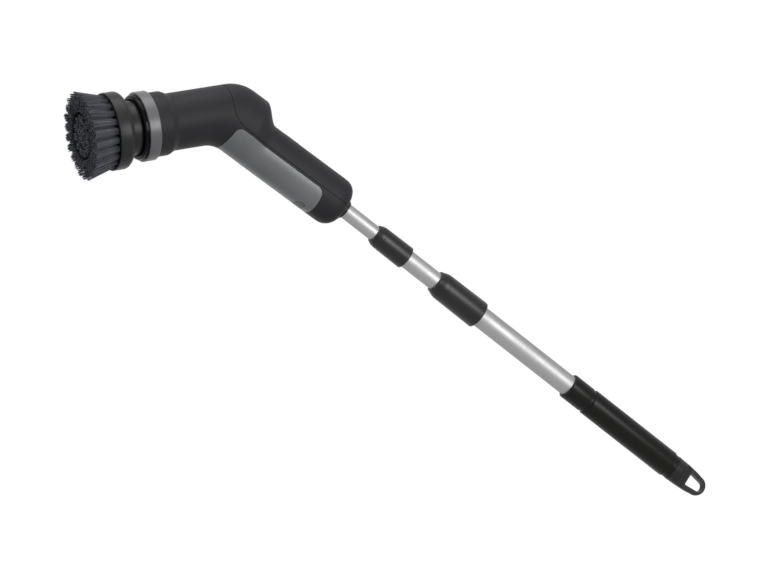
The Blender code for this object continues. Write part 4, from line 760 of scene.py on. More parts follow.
@dataclass
class HousingForm:
    """Smooth skin of barrel, elbow and handle, measured from the elbow."""

    barrel_radius: float = 0.0284
    nose_flare: float = 0.0034
    nose_length: float = 0.0125
    flare_length: float = 0.0095
    elbow_to_nose: float = 0.0710
    half_height: float = 0.0251
    half_width: float = 0.0235
    length: float = HANDLE_LENGTH
    heel_height: float = 0.0412
    heel_radius: float = 0.0390
    bend_radius: float = 0.0300
    step_start: float = 0.0352
    step_length: float = 0.0215
    step_power: float = 0.905
    step_crowding: float = 1.6
    dome_length: float = 0.0172
    end_face_share: float = 0.40
    dome_power: float = 2.7
    barrel_power: float = 2.0
    handle_power: float = 2.3
    sides: int = 120

    def spot(self, along: float, rise: float) -> Vector:
        """Place (x, z) from the elbow of a point along the handle and above its axis."""
        cosine, sine = math.cos(HANDLE_DROP), math.sin(HANDLE_DROP)
        return Vector((along * cosine + rise * sine, -along * sine + rise * cosine))

    def corner(self, height: float, offset: float) -> Vector:
        """Point (x, z) at a height over the head's axis and an offset over the handle's."""
        across = (offset - height * math.cos(HANDLE_DROP)) / math.sin(HANDLE_DROP)
        return Vector((across, height))

    def pivot(self) -> Vector:
        """Centre of the bend's inner radius."""
        height = -(self.barrel_radius + self.bend_radius)
        return self.corner(height, -(self.half_height + self.bend_radius))

    def heel_reach(self, angle: float) -> float:
        """Distance from the bend's centre to the outer side, in a plane of the fan.

        Args:
            angle: Angle of the plane from upright.

        Returns:
            The distance.
        """
        pivot = self.pivot()
        centre = self.corner(
            self.barrel_radius - self.heel_radius, self.heel_height - self.heel_radius
        )
        first = centre + Vector((0, self.heel_radius)) - pivot
        last = centre + self.spot(0, self.heel_radius) - pivot
        if angle <= math.atan2(first.x, first.y):
            return (self.barrel_radius - pivot.y) / math.cos(angle)
        if angle >= math.atan2(last.x, last.y):
            offset = self.heel_height + self.half_height + self.bend_radius
            return offset / math.cos(HANDLE_DROP - angle)
        way = Vector((math.sin(angle), math.cos(angle)))
        towards = way.dot(centre - pivot)
        aside = (centre - pivot).length_squared - towards**2
        return towards + math.sqrt(self.heel_radius**2 - aside)

    def barrel_station(self, reach: float, radius: float) -> Station:
        """Round section of the barrel."""
        up = Vector((0, 1))
        return Station(Vector((-reach, 0)), up, -radius, radius, radius, self.barrel_power)

    def fan_station(self, share: float) -> Station:
        """Section through the elbow, in a plane that turns about the bend's centre.

        Args:
            share: Share of the way round the bend.

        Returns:
            The section.
        """
        angle = HANDLE_DROP * share
        up = Vector((math.sin(angle), math.cos(angle)))
        power = mix(self.barrel_power, self.handle_power, ease(share) / 2)
        reach = self.heel_reach(angle)
        return Station(self.pivot(), up, self.bend_radius, reach, self.barrel_radius, power)

    def handle_station(self, along: float) -> Station:
        """Section square to the handle, with the step down from the heel.

        Args:
            along: Its place along the handle.

        Returns:
            The section.
        """
        past = max(0, (along - self.step_start) / self.step_length)
        share = ease(past**self.step_power)
        power = mix((self.barrel_power + self.handle_power) / 2, self.handle_power, share)
        high = mix(self.heel_height, self.half_height, share)
        width = mix(self.barrel_radius, self.half_width, share)
        up = self.spot(0, 1)
        return Station(self.spot(along, 0), up, -self.half_height, high, width, power)

    def dome_stations(self, inset: float, steps: int) -> list[Station]:
        """Sections over the handle's rounded end, for one inset.

        Args:
            inset: How far the skin lies inside the outer one.
            steps: How many sections.

        Returns:
            The sections, towards the handle's end.
        """
        start = self.length - self.dome_length
        last = math.acos(self.end_face_share ** (self.dome_power / 2))
        full = math.sin(last) ** (2 / self.dome_power)
        stations = []
        for step in range(1, steps + 1):
            turn = last * step / steps
            out = (self.dome_length - inset) * math.sin(turn) ** (2 / self.dome_power) / full
            station = self.handle_station(start + out)
            shrink = math.cos(turn) ** (2 / self.dome_power)
            station.low = (station.low + inset) * shrink - inset
            station.high = (station.high - inset) * shrink + inset
            station.half_width = (station.half_width - inset) * shrink + inset
            stations.append(station)
        return stations

    def stations(self, inset: float, nose_end: float, fine: int) -> list[Station]:
        """All sections from the nose to the handle's end.

        Args:
            inset: How far the skin lies inside the outer one.
            nose_end: Where the barrel's open end lies.
            fine: Facets over each curved part.

        Returns:
            The sections in order.
        """
        nose = self.barrel_radius + self.nose_flare
        flare_end = self.elbow_to_nose - self.nose_length
        found = [self.barrel_station(nose_end, nose)]
        for step in range(fine + 1):
            share = step / fine
            radius = mix(nose, self.barrel_radius, ease(share))
            found.append(self.barrel_station(flare_end - self.flare_length * share, radius))
        found += [self.fan_station(step / (2 * fine)) for step in range(2 * fine + 1)]
        for step in range(2 * fine + 1):
            share = (step / (2 * fine)) ** self.step_crowding
            found.append(self.handle_station(self.step_start + self.step_length * share))
        found.append(self.handle_station(self.length - self.dome_length))
        return found + self.dome_stations(inset, fine + fine // 2)

    def skin(
        self, name: str, inset: float, elbow: Vector, nose_end: float | None = None, fine: int = 12
    ) -> Piece:
        """Closed skin through all sections, moved in by the inset.

        Args:
            name: Name of the object.
            inset: How far the skin lies inside the outer one.
            elbow: Place of the elbow.
            nose_end: Where the barrel's open end lies, or None for its real place.
            fine: Facets over each curved part.

        Returns:
            The closed form.
        """
        maker = bmesh.new()
        rings = []
        for station in self.stations(inset, nose_end or self.elbow_to_nose, fine):
            half_height = (station.high - station.low) / 2 - inset
            middle = (station.high + station.low) / 2
            half_width = station.half_width - inset
            exponent = 2 / station.power
            ring = []
            for side in range(self.sides):
                turn = 2 * math.pi * side / self.sides
                across = half_width * signed_power(math.cos(turn), exponent)
                height = middle + half_height * signed_power(math.sin(turn), exponent)
                spot = station.foot + station.up * height
                ring.append(maker.verts.new((spot.x, across, spot.y)))
            rings.append(ring)
        for first, second in zip(rings, rings[1:]):
            for side in range(self.sides):
                after = (side + 1) % self.sides
                maker.faces.new((first[side], first[after], second[after], second[side]))
        maker.faces.new(rings[0])
        maker.faces.new(rings[-1])
        return shade(make_piece(name, maker, Matrix.Translation(elbow)))


@dataclass
class Housing:
    """Two-part shell with its soft panel, port cover and power button."""

    elbow: Vector
    handle: Axis
    pole: Axis
    form: HousingForm = field(default_factory=HousingForm)
    wall: float = 0.0030
    seam_back: float = 0.0100
    seam_radius: float = 0.0300
    seam_gap: float = 0.0005
    panel_start: float = 0.0188
    panel_end: float = 0.1291
    panel_slant: float = 0.0045
    panel_top: float = -0.0026
    panel_corner: float = 0.0070
    panel_thickness: float = 0.0015
    port_place: float = 0.1205
    port_width: float = 0.0240
    port_length: float = 0.0092
    button_place: float = 0.0780
    button_length: float = 0.0200
    button_width: float = 0.0120
    button_proud: float = 0.0003
    button_depth: float = 0.0050
    bezel_wall: float = 0.0011
    bezel_proud: float = 0.0002
    bezel_depth: float = 0.0054
    socket_radius: float = 0.0100
    overrun: float = 0.0030
    port_slot: Pair = (0.0100, 0.0044)
    pole_hole: Pair = (-0.012, 0.003)
    cover_gap: float = 0.0001
    button_gap: float = 0.0004
    seam_steps: int = 24
    cavity_fine: int = 5

    def behind_seam(self, name: str, shift: float) -> Piece:
        """Prism of all that lies behind the seam, moved towards the back by a shift.

        Args:
            name: Name of the piece.
            shift: How far it lies behind the seam's middle.

        Returns:
            The new piece.
        """
        far = self.form.length * 2
        centre_x = self.seam_back + self.seam_radius
        centre_z = self.seam_radius - centre_x * math.sin(HANDLE_DROP)
        centre_z /= math.cos(HANDLE_DROP)
        radius = self.seam_radius - shift
        points = [(self.seam_back + shift, far)]
        for step in range(self.seam_steps + 1):
            turn = math.pi + (math.pi / 2 - HANDLE_DROP) * step / self.seam_steps
            points.append((centre_x + radius * math.cos(turn), centre_z + radius * math.sin(turn)))
        end = self.form.spot(far, shift)
        points += [(end.x, end.y), (2 * far, end.y), (2 * far, far)]
        reach = self.form.barrel_radius * 2
        upright = Axis(self.elbow, Vector((0, 0, 1)), Vector((1, 0, 0)))
        return prism(name, points, Plane.RISE_ALONG, -reach, reach, upright)

    def panel_outline(self, grow: float) -> Outline:
        """Side outline of the soft panel, grown all round.

        Args:
            grow: How far it is grown.

        Returns:
            The closed outline.
        """
        low = -self.form.half_height - self.panel_corner - self.overrun
        top = self.panel_top + grow
        start, end = self.panel_start - grow, self.panel_end + grow
        radius = self.panel_corner + grow
        points = []
        for rise, along in rounded_rectangle(low, top, start, end, radius):
            slant = self.panel_slant * (top - rise) / self.form.half_height
            points.append((rise, along + slant * (along - start) / (end - start)))
        return points

    def port_outline(self, grow: float) -> Outline:
        """Outline of the charge port's cover, grown all round."""
        width, length = self.port_width + 2 * grow, self.port_length + 2 * grow
        return slot_outline(self.port_place, width, length)

    def button_outline(self, grow: float) -> Outline:
        """Outline of the power button, grown all round."""
        width, length = self.button_width + 2 * grow, self.button_length + 2 * grow
        return slot_outline(self.button_place, width, length)

    def prism(self, name: str, outline: Outline, low: float, high: float) -> Piece:
        """Prism through the handle from its upper or lower side."""
        return prism(name, outline, Plane.SIDE_ALONG, low, high, self.handle)

    def side_prism(self, name: str, outline: Outline) -> Piece:
        """Prism through the handle from one side to the other."""
        side = self.form.barrel_radius + self.overrun
        return prism(name, outline, Plane.RISE_ALONG, -side, side, self.handle)

    def build(self, dresser: Dresser) -> None:
        """Make the shell halves, the panel, the cover and the button.

        Args:
            dresser: Gives each piece its slot's finish and body, and hides the nodes it stands
                for.
        """
        form, thickness = self.form, self.panel_thickness
        under, over = -form.half_height - self.overrun, form.half_height + self.overrun
        nose_cut = form.elbow_to_nose + self.overrun
        outside = form.skin("outside_form", 0, self.elbow)
        cavity = form.skin("cavity_form", self.wall, self.elbow, nose_cut, self.cavity_fine)
        bed_form = form.skin("panel_bed_form", thickness + FIT, self.elbow)
        back_form = form.skin("panel_back_form", thickness, self.elbow)
        behind = self.behind_seam("behind_form", self.seam_gap / 2)
        behind_wide = self.behind_seam("behind_wide_form", -self.seam_gap / 2)
        panel_cut = self.side_prism("panel_cut", self.panel_outline(FIT))
        carve(panel_cut, (Cut.TAKE_AWAY, bed_form))
        socket, (back, front) = self.socket_radius + FIT, self.pole_hole
        hole_outline = [(0, front), (socket, front), (socket, back), (0, back)]
        pole_hole = turned("pole_hole", hole_outline, self.pole)
        slot = slot_outline(self.port_place, *self.port_slot)
        port_slot = self.prism("port_slot", slot, under, under / 2)
        shell = form.skin("housing_front", 0, self.elbow)
        cutters = (cavity, behind_wide, panel_cut, port_slot, pole_hole)
        carve(shell, *((Cut.TAKE_AWAY, cutter) for cutter in cutters))
        dresser.dress(shell, Slot.HOUSING_BLACK, Body.HEAD, "front_housing")
        hole = self.bezel_wall + self.button_gap + FIT
        button_hole = self.prism("button_hole", self.button_outline(hole), over / 2, over)
        shell = form.skin("housing_back", 0, self.elbow)
        carve(
            shell,
            (Cut.TAKE_AWAY, cavity),
            (Cut.KEEP_SHARED, behind),
            (Cut.TAKE_AWAY, button_hole),
            (Cut.TAKE_AWAY, pole_hole),
        )
        dresser.dress(shell, Slot.HOUSING_BLACK, Body.HEAD, "back_cover")
        port_hole = self.prism("port_hole", self.port_outline(FIT), under, under / 2)
        panel = self.side_prism("soft_panel", self.panel_outline(0))
        skin_cuts = ((Cut.KEEP_SHARED, outside), (Cut.TAKE_AWAY, back_form))
        carve(panel, *skin_cuts, (Cut.TAKE_AWAY, port_hole))
        dresser.dress(panel, Slot.SOFT_GREY, Body.HEAD, "grip_panel")
        cover = self.prism("port_cover_flap", self.port_outline(-self.cover_gap), under, under / 2)
        carve(cover, *skin_cuts)
        dresser.dress(cover, Slot.COVER_RUBBER, Body.PORT_COVER, "charge_port_cover")
        self.build_button(dresser, over)
        drop_tools(outside, cavity, bed_form, back_form, behind, behind_wide)
        drop_tools(panel_cut, pole_hole, port_slot, button_hole, port_hole)

    def build_button(self, dresser: Dresser, over: float) -> None:
        """Power button over its bezel, on the handle's upper side.

        Args:
            dresser: Gives each piece its slot's finish and body, and hides the nodes it stands
                for.
            over: Height over the handle's axis that is clear of its skin.
        """
        form, gap = self.form, self.button_gap
        button_crown = form.skin("button_crown", -self.button_proud, self.elbow)
        bezel_crown = form.skin("bezel_crown", -self.bezel_proud, self.elbow)
        low = form.half_height - self.button_depth
        button = self.prism("power_button_cap", self.button_outline(0), low, over)
        carve(button, (Cut.KEEP_SHARED, button_crown))
        dresser.dress(button, Slot.BUTTON_RUBBER, Body.BUTTON, "power_button")
        low = form.half_height - self.bezel_depth
        rim = self.button_outline(self.bezel_wall + gap)
        bezel = self.prism("power_button_bezel", rim, low, over)
        opening = self.prism("bezel_opening", self.button_outline(gap), low - gap, over * 2)
        carve(bezel, (Cut.KEEP_SHARED, bezel_crown), (Cut.TAKE_AWAY, opening))
        dresser.dress(bezel, Slot.TRIM_GREY, Body.HEAD, "button_bezel")
        drop_tools(button_crown, bezel_crown, opening)


# Nose and brush


@dataclass
class Nose:
    """Grey ring, glossy lip and the turning neck, along the head's axis."""

    head: Axis
    back: float = 0.0713
    ring_radius: float = 0.0345
    ring_bore: float = 0.0300
    ring_length: float = 0.0121
    spigot: float = 0.0285
    spigot_wall: float = 0.0022
    spigot_length: float = 0.0037
    lip_radius: float = 0.0322
    lip_bore: float = 0.0280
    lip_length: float = 0.0045
    lip_edge: float = 0.0024
    lip_spigot: float = 0.0060
    neck_radius: float = 0.0271
    neck_start: float = 0.0745
    neck_front: float = 0.0987
    neck_wall: float = 0.0026
    edge: float = 0.0010
    neck_bore: float = 0.0043
    boss_radius: float = 0.0080
    boss_back: float = 0.0867
    neck_floor: float = 0.0050
    steps: int = 160

    def ring(self, front: float) -> Outline:
        """Outline of the grey ring, with its spigot in the housing.

        Args:
            front: Where its face lies along the axis.

        Returns:
            The closed outline.
        """
        inner, spigot_back = self.spigot - self.spigot_wall, self.back - self.spigot_length
        seat = self.back + self.spigot_wall
        ring = [(self.ring_bore, front)]
        ring += reversed(rounded_edge(self.ring_radius, front, -1, 1, self.edge))
        ring += rounded_edge(self.ring_radius, self.back, -1, -1, self.edge)
        ring += [(self.spigot, self.back), (self.spigot, spigot_back), (inner, spigot_back)]
        return ring + [(inner, seat), (self.ring_bore, seat)]

    def lip(self, back: float) -> Outline:
        """Outline of the glossy lip, with its spigot in the ring.

        Args:
            back: Where it meets the ring along the axis.

        Returns:
            The closed outline.
        """
        front, root = back + self.lip_length, back - self.lip_spigot
        spigot = self.ring_bore - FIT
        lip = rounded_edge(self.lip_bore, front, 1, 1, self.lip_edge / 2)
        lip += reversed(rounded_edge(self.lip_radius, front, -1, 1, self.lip_edge))
        lip += [(self.lip_radius, back), (spigot, back), (spigot, root)]
        return lip + [(self.lip_bore, root)]

    def neck(self) -> Outline:
        """Outline of the neck, a cup whose boss holds the output shaft.

        Returns:
            The closed outline.
        """
        bore, boss, inner = self.neck_bore, self.boss_radius, self.neck_radius - self.neck_wall
        floor = self.neck_front - self.neck_floor
        neck = [(bore, self.neck_front)]
        neck += reversed(rounded_edge(self.neck_radius, self.neck_front, -1, 1, self.edge))
        neck += [(self.neck_radius, self.neck_start), (inner, self.neck_start), (inner, floor)]
        return neck + [(boss, floor), (boss, self.boss_back), (bore, self.boss_back)]

    def build(self, dresser: Dresser) -> None:
        """Make the three turned pieces.

        Args:
            dresser: Gives each piece its slot's finish and body, and hides the nodes it stands
                for.
        """
        front = self.back + self.ring_length
        pieces = (
            ("nose_trim_ring", self.ring(front), Slot.TRIM_GREY, Body.HEAD, "nose_ring"),
            ("nose_gloss_lip", self.lip(front + FIT), Slot.GLOSS_BLACK, Body.HEAD, "nose_bezel"),
            ("drive_neck", self.neck(), Slot.FITTING_BLACK, Body.DRIVE, "drive_hub"),
        )
        for name, outline, slot, body, node in pieces:
            dresser.dress(turned(name, outline, self.head, self.steps), slot, body, node)


@dataclass
class StrandBundle:
    """Collects the strands of many tufts as one mesh, each strand with its own tone."""

    chance: random.Random
    face: float
    length: float
    strands: int
    hole: Pair
    spread: Pair
    limit: float
    tone_reach: float
    thickness: float = 0.00032
    taper: float = 0.18
    root_depth: float = 0.0008
    squareness: float = 0.7
    tuft_short: float = 0.035
    strand_short: Pair = (0.02, 0.03)
    loose_out: Pair = (-0.0004, 0.0004)
    loose_round: Pair = (-0.00015, 0.00015)
    bow_out: Pair = (-0.0006, 0.0001)
    bow_round: Pair = (-0.0001, 0.0001)
    sides: int = 5
    rings: int = 5
    points: list[tuple[float, float, float]] = field(default_factory=list)
    faces: list[list[int]] = field(default_factory=list)
    tones: list[float] = field(default_factory=list)
    reaches: list[float] = field(default_factory=list)

    def add_strand(self, foot: Vector, tip: Vector, tone: float, bend: Vector) -> None:
        """Add one strand.

        Args:
            foot: Its root in the plate.
            tip: Its free end.
            tone: Its shade, 0 to 1.
            bend: How far its middle bows aside.
        """
        base = len(self.points)
        way = (tip - foot).normalized()
        side = way.orthogonal().normalized()
        other = way.cross(side)
        for ring in range(self.rings):
            share = ring / (self.rings - 1)
            middle = foot.lerp(tip, share) + bend * (4 * share * (1 - share))
            size = self.thickness * (1.0 - self.taper * share)
            for corner in range(self.sides):
                turn = 2 * math.pi * corner / self.sides
                spot = middle + (side * math.cos(turn) + other * math.sin(turn)) * size
                self.points.append(tuple(spot))
                self.tones.append(tone)
                self.reaches.append(share)
        for ring in range(self.rings - 1):
            for corner in range(self.sides):
                after = (corner + 1) % self.sides
                low, high = base + ring * self.sides, base + (ring + 1) * self.sides
                self.faces.append([low + corner, low + after, high + after, high + corner])
        last = base + (self.rings - 1) * self.sides
        self.faces.append([base + corner for corner in reversed(range(self.sides))])
        self.faces.append([last + corner for corner in range(self.sides)])

    def add_tuft(self, turn: float, foot_radius: float, tip_radius: float) -> None:
        """Add all strands of a tuft, packed in a sunflower pattern.

        Args:
            turn: Its place round the head's axis.
            foot_radius: How far its hole lies from the axis.
            tip_radius: How far the middle of its tips lies from the axis.
        """
        draw = self.chance.uniform
        out = Vector((math.cos(turn), math.sin(turn), 0))
        around = Vector((-math.sin(turn), math.cos(turn), 0))
        face = Vector((0, 0, self.face))
        deep, wide = self.hole
        spread_out, spread_round = self.spread
        short, (even, edge) = 1 - self.tuft_short * self.chance.random(), self.strand_short
        for index in range(self.strands):
            share = math.sqrt((index + 0.5) / self.strands)
            spin = GOLDEN_TURN * index
            square = share / max(abs(math.cos(spin)), abs(math.sin(spin))) ** self.squareness
            outward, sideways = square * math.cos(spin), square * math.sin(spin)
            foot = face + out * (foot_radius + deep * outward) + around * (wide * sideways)
            cut = even * self.chance.random()
            reach = self.length * (short - cut - edge * share * self.chance.random())
            place = tip_radius + spread_out * outward + draw(*self.loose_out)
            across = spread_round * sideways + draw(*self.loose_round)
            tip = Vector((0, 0, self.face + reach)) + out * place + around * across
            flat = Vector((tip.x, tip.y, 0))
            if flat.length > self.limit:
                tip -= flat.normalized() * (flat.length - self.limit)
            bend = out * draw(*self.bow_out) + around * draw(*self.bow_round)
            tone = self.tone_reach * self.chance.random()
            self.add_strand(foot - Vector((0, 0, self.root_depth)), tip, tone, bend)

    def add_row(self, count: int, phase: float, foot_radius: float, tip_radius: float) -> None:
        """Add a ring of evenly spaced tufts."""
        for index in range(count):
            self.add_tuft(2 * math.pi * (index + phase) / count, foot_radius, tip_radius)

    def finish(self, name: str, place: Matrix) -> Piece:
        """Make the object of all strands.

        Args:
            name: Name of the piece.
            place: Placement of the head's axis.

        Returns:
            The new piece.
        """
        mesh = bpy.data.meshes.new(name)
        mesh.from_pydata(self.points, [], self.faces)
        for title, values in ((STRAND_TONE, self.tones), (STRAND_REACH, self.reaches)):
            layer = mesh.attributes.new(title, "FLOAT", "POINT")
            layer.data.foreach_set("value", values)
        mesh.transform(place)
        mesh.update()
        piece = bpy.data.objects.new(name, mesh)
        bpy.context.scene.collection.objects.link(piece)
        return shade(piece, STRAND_SHARP_TURN)


@dataclass
class Brush:
    """Round plate with its ring of flared tufts and its inner cluster."""

    head: Axis
    back: float = 0.0990
    thickness: float = 0.0165
    radius: float = 0.0384
    back_edge: float = 0.0060
    front_edge: float = 0.0005
    rim: float = 0.0010
    rim_step: float = 0.0003
    backing: float = 0.0016
    parting_share: float = 0.66
    peg_radius: float = 0.0061
    peg_end: float = 0.1120
    overrun: float = 0.0030
    bristle_length: float = 0.0284
    reach_limit: float = 0.0441
    outer_tufts: int = 24
    outer_rows: tuple[tuple[float, float, float], ...] = (
        (0.0, 0.0049, 0.0004),
        (0.5, 0.0092, 0.0086),
    )
    outer_strands: int = 58
    outer_hole: Pair = (0.0022, 0.0029)
    outer_spread: Pair = (0.0060, 0.0037)
    outer_tones: float = 0.5
    inner_length_share: float = 0.97
    inner_rows: tuple[tuple[int, float, float], ...] = (
        (1, 0, 0),
        (6, 0.31, 0.33),
        (12, 0.61, 0.68),
    )
    inner_strands: int = 44
    inner_hole: Pair = (0.0026, 0.0026)
    inner_spread: Pair = (0.0038, 0.0038)
    inner_tones: float = 1.0
    seed: int = 7
    steps: int = 160

    def plate(self) -> Piece:
        """Plate with a soft rear edge, a fine step before its rim and the drive's socket.

        Returns:
            The new piece.
        """
        front, rim = self.back + self.thickness, self.radius - self.rim
        floor = front - self.backing - FIT
        outline = [(0, floor), (rim, floor)]
        outline += [(rim, front - self.rim_step), (rim + self.rim_step, front)]
        outline += reversed(rounded_edge(self.radius, front, -1, 1, self.front_edge, 4))
        outline += rounded_edge(self.radius, self.back, -1, -1, self.back_edge, 14)
        plate = turned("brush_plate", outline + [(0, self.back)], self.head, self.steps)
        radius, turns = self.peg_radius, [corner * math.pi / 3 for corner in range(6)]
        peg = [(radius * math.cos(turn), radius * math.sin(turn)) for turn in turns]
        low = self.back - self.overrun
        hole = prism("hex_hole", peg, Plane.SIDE_RISE, low, self.peg_end, self.head)
        carve(plate, (Cut.TAKE_AWAY, hole))
        drop_tools(hole)
        return plate

    def slice(self, name: str, low: float, high: float) -> Piece:
        """Slice of the backing that tufts stand in, between two radii.

        Args:
            name: Name of the piece.
            low: Its inner radius.
            high: Its outer radius.

        Returns:
            The new piece.
        """
        front = self.back + self.thickness
        floor = front - self.backing
        outline = [(low, front), (high, front), (high, floor), (low, floor)]
        return turned(name, outline, self.head, self.steps)

    def build(self, dresser: Dresser) -> None:
        """Make the plate, the backing and all strands.

        Args:
            dresser: Gives each piece its slot's finish and body, and hides the nodes it stands
                for.
        """
        dresser.dress(self.plate(), Slot.FITTING_BLACK, Body.BRUSH, "brush_base")
        parting = self.radius * self.parting_share
        ring = self.slice("outer_backing", parting + FIT, self.radius - self.rim - FIT)
        disc = self.slice("inner_backing", 0, parting)
        dresser.dress(ring, Slot.FITTING_BLACK, Body.BRUSH)
        dresser.dress(disc, Slot.FITTING_BLACK, Body.BRUSH)
        chance, face = random.Random(self.seed), self.back + self.thickness
        outer = StrandBundle(
            chance,
            face,
            self.bristle_length,
            self.outer_strands,
            self.outer_hole,
            self.outer_spread,
            self.reach_limit,
            self.outer_tones,
        )
        for phase, foot, tip in self.outer_rows:
            outer.add_row(self.outer_tufts, phase, self.radius - foot, self.radius - tip)
        piece = outer.finish("outer_tufts", self.head.matrix)
        dresser.dress(piece, Slot.BRISTLE_SLATE, Body.BRUSH, "outer_bristles")
        inner = StrandBundle(
            chance,
            face,
            self.bristle_length * self.inner_length_share,
            self.inner_strands,
            self.inner_hole,
            self.inner_spread,
            self.reach_limit,
            self.inner_tones,
        )
        for count, foot, tip in self.inner_rows:
            inner.add_row(count, 0, parting * foot, parting * tip)
        piece = inner.finish("inner_tufts", self.head.matrix)
        dresser.dress(piece, Slot.BRISTLE_SLATE, Body.BRUSH, "inner_bristles")


# Pole


@dataclass
class TwistLock:
    """Sizes of one twist collar along the pole."""

    name: str
    node: str
    body: Body
    start: float
    end: float
    front_radius: float
    radius: float
    inside_radius: float
    tube_radius: float
    mark: float


@dataclass
class Pole:
    """Socket, three tubes and two twist locks, along the pole's axis."""

    pole: Axis
    tube_wall: float = 0.0010
    inner_radius: float = 0.0080
    middle_radius: float = 0.0095
    outer_radius: float = 0.0110
    inner_end: float = 0.3398
    middle_start: float = 0.0508
    middle_end: float = 0.3868
    outer_start: float = 0.1324
    outer_end: float = 0.4458
    socket_wall: float = 0.0020
    socket_depth: float = 0.0420
    flange_width: float = 0.0059
    flange_back: float = 0.0120
    flange_front: float = 0.0092
    pin_place: float = 0.0280
    pin_radius: float = 0.0023
    chamfer_share: float = 0.14
    shoulder_share: float = 0.85
    shoulder_reach: float = 0.0022
    shoulder_soft: float = 0.0002
    shoulder_steps: int = 6
    nose_wall: float = 0.0034
    nose_edge: float = 0.0006
    finger_length: float = 0.0070
    collet_wall: float = 0.0010
    bore_gap: float = 0.0004
    mark_size: Pair = (0.0005, 0.00022)
    edge: float = 0.0008
    tube_edge: float = 0.0002
    pin_half: float = 0.013
    pin_steps: int = 32
    collar_steps: int = 112

    def tube(self, name: str, radius: float, start: float, end: float) -> Piece:
        """Plain tube with fine chamfers at its ends.

        Args:
            name: Name of the piece.
            radius: Its outer radius.
            start: Where it starts along the pole.
            end: Where it ends along the pole.

        Returns:
            The new piece.
        """
        bore, edge = radius - self.tube_wall, self.tube_edge
        outline = [(bore, end), (radius - edge, end), (radius, end - edge)]
        outline += [(radius, start + edge), (radius - edge, start), (bore, start)]
        return turned(name, outline, self.pole)

    def socket(self) -> Piece:
        """Sleeve that holds the first tube, with its rounded lip.

        Returns:
            The new piece.
        """
        bore, radius = self.inner_radius + FIT, self.inner_radius + self.socket_wall
        flange = self.inner_radius + self.flange_width
        outline = [(bore, 0)]
        outline += reversed(rounded_edge(radius, 0, -1, 1, self.edge, 6))
        outline += [(radius, -self.flange_front), (flange, -self.flange_front)]
        outline += [(flange, -self.flange_back), (radius, -self.flange_back)]
        outline += [(radius, -self.socket_depth), (bore, -self.socket_depth)]
        return turned("pole_sleeve", outline, self.pole)

    def collar(self, lock: TwistLock) -> Piece:
        """Twist collar: cone nose, a fine ring mark, then the straight body.

        Args:
            lock: Its sizes.

        Returns:
            The new piece.
        """
        bore, nose_end = lock.inside_radius + self.bore_gap, lock.start + self.nose_wall
        fingers = lock.inside_radius + 2 * FIT + self.collet_wall
        cavity = lock.tube_radius + 2 * FIT + self.collet_wall
        chamfer_end = lock.start + (lock.end - lock.start) * self.chamfer_share
        shoulder = mix(lock.front_radius, lock.radius, self.shoulder_share)
        outline = [(bore, lock.start), (bore, nose_end), (fingers, nose_end)]
        outline += [(cavity, nose_end + self.finger_length), (cavity, lock.end)]
        outline += reversed(rounded_edge(lock.radius, lock.end, -1, 1, self.edge, 6))
        mark = lock.start + lock.mark
        past = (mark - chamfer_end) / (lock.end - self.edge - chamfer_end)
        outline += reversed(groove(mix(shoulder, lock.radius, past), mark, *self.mark_size))
        slope = (shoulder - lock.front_radius) / (chamfer_end - lock.start)
        for step in range(self.shoulder_steps + 1):
            share = 1 - step / self.shoulder_steps
            place = chamfer_end + mix(-self.shoulder_reach, self.shoulder_reach, share)
            along = place - chamfer_end
            low = shoulder + slope * along
            high = shoulder + (lock.radius - shoulder) * along / (lock.end - chamfer_end)
            soft = self.shoulder_soft * (1 - abs(2 * share - 1)) ** 2
            outline.append((min(low, high) - soft, place))
        outline += rounded_edge(lock.front_radius, lock.start, -1, -1, self.nose_edge, 5)
        return turned(lock.name, outline, self.pole, self.collar_steps)

    def pin_bore(self) -> Piece:
        """Cutter for the cross pin's hole.

        Returns:
            The new piece.
        """
        radius, half = self.pin_radius, self.pin_half
        outline = [(0, -half), (radius, -half), (radius, half), (0, half)]
        place = self.pole.origin - self.pole.along * self.pin_place
        across = Axis(place, self.pole.along.cross(self.pole.rise), self.pole.rise)
        return turned("pin_bore", outline, across, self.pin_steps)

    def build(self, dresser: Dresser) -> None:
        """Make the socket, the tubes and the collars.

        Args:
            dresser: Gives each piece its slot's finish and body, and hides the nodes it stands
                for.
        """
        socket, pin = self.socket(), self.pin_bore()
        carve(socket, (Cut.TAKE_AWAY, pin))
        dresser.dress(socket, Slot.FITTING_BLACK, Body.HEAD, "pole_socket")
        start = -self.socket_depth + FIT
        inner = self.tube("first_tube", self.inner_radius, start, self.inner_end)
        carve(inner, (Cut.TAKE_AWAY, pin))
        drop_tools(pin)
        dresser.dress(inner, Slot.ALUMINIUM, Body.HEAD, "inner_tube")
        middle = self.tube("second_tube", self.middle_radius, self.middle_start, self.middle_end)
        dresser.dress(middle, Slot.ALUMINIUM, Body.MIDDLE, "middle_tube")
        outer = self.tube("third_tube", self.outer_radius, self.outer_start, self.outer_end)
        dresser.dress(outer, Slot.ALUMINIUM, Body.GRIP, "outer_tube")
        locks = (
            TwistLock(
                name="first_twist_collar",
                node="inner_collar",
                body=Body.INNER_COLLAR,
                start=0.0391,
                end=0.0809,
                front_radius=0.0097,
                radius=0.0121,
                inside_radius=self.inner_radius,
                tube_radius=self.middle_radius,
                mark=0.0088,
            ),
            TwistLock(
                name="second_twist_collar",
                node="outer_collar",
                body=Body.OUTER_COLLAR,
                start=0.1207,
                end=0.1790,
                front_radius=0.0116,
                radius=0.0146,
                inside_radius=self.middle_radius,
                tube_radius=self.outer_radius,
                mark=0.0124,
            ),
        )
        for lock in locks:
            dresser.dress(self.collar(lock), Slot.FITTING_BLACK, lock.body, lock.node)


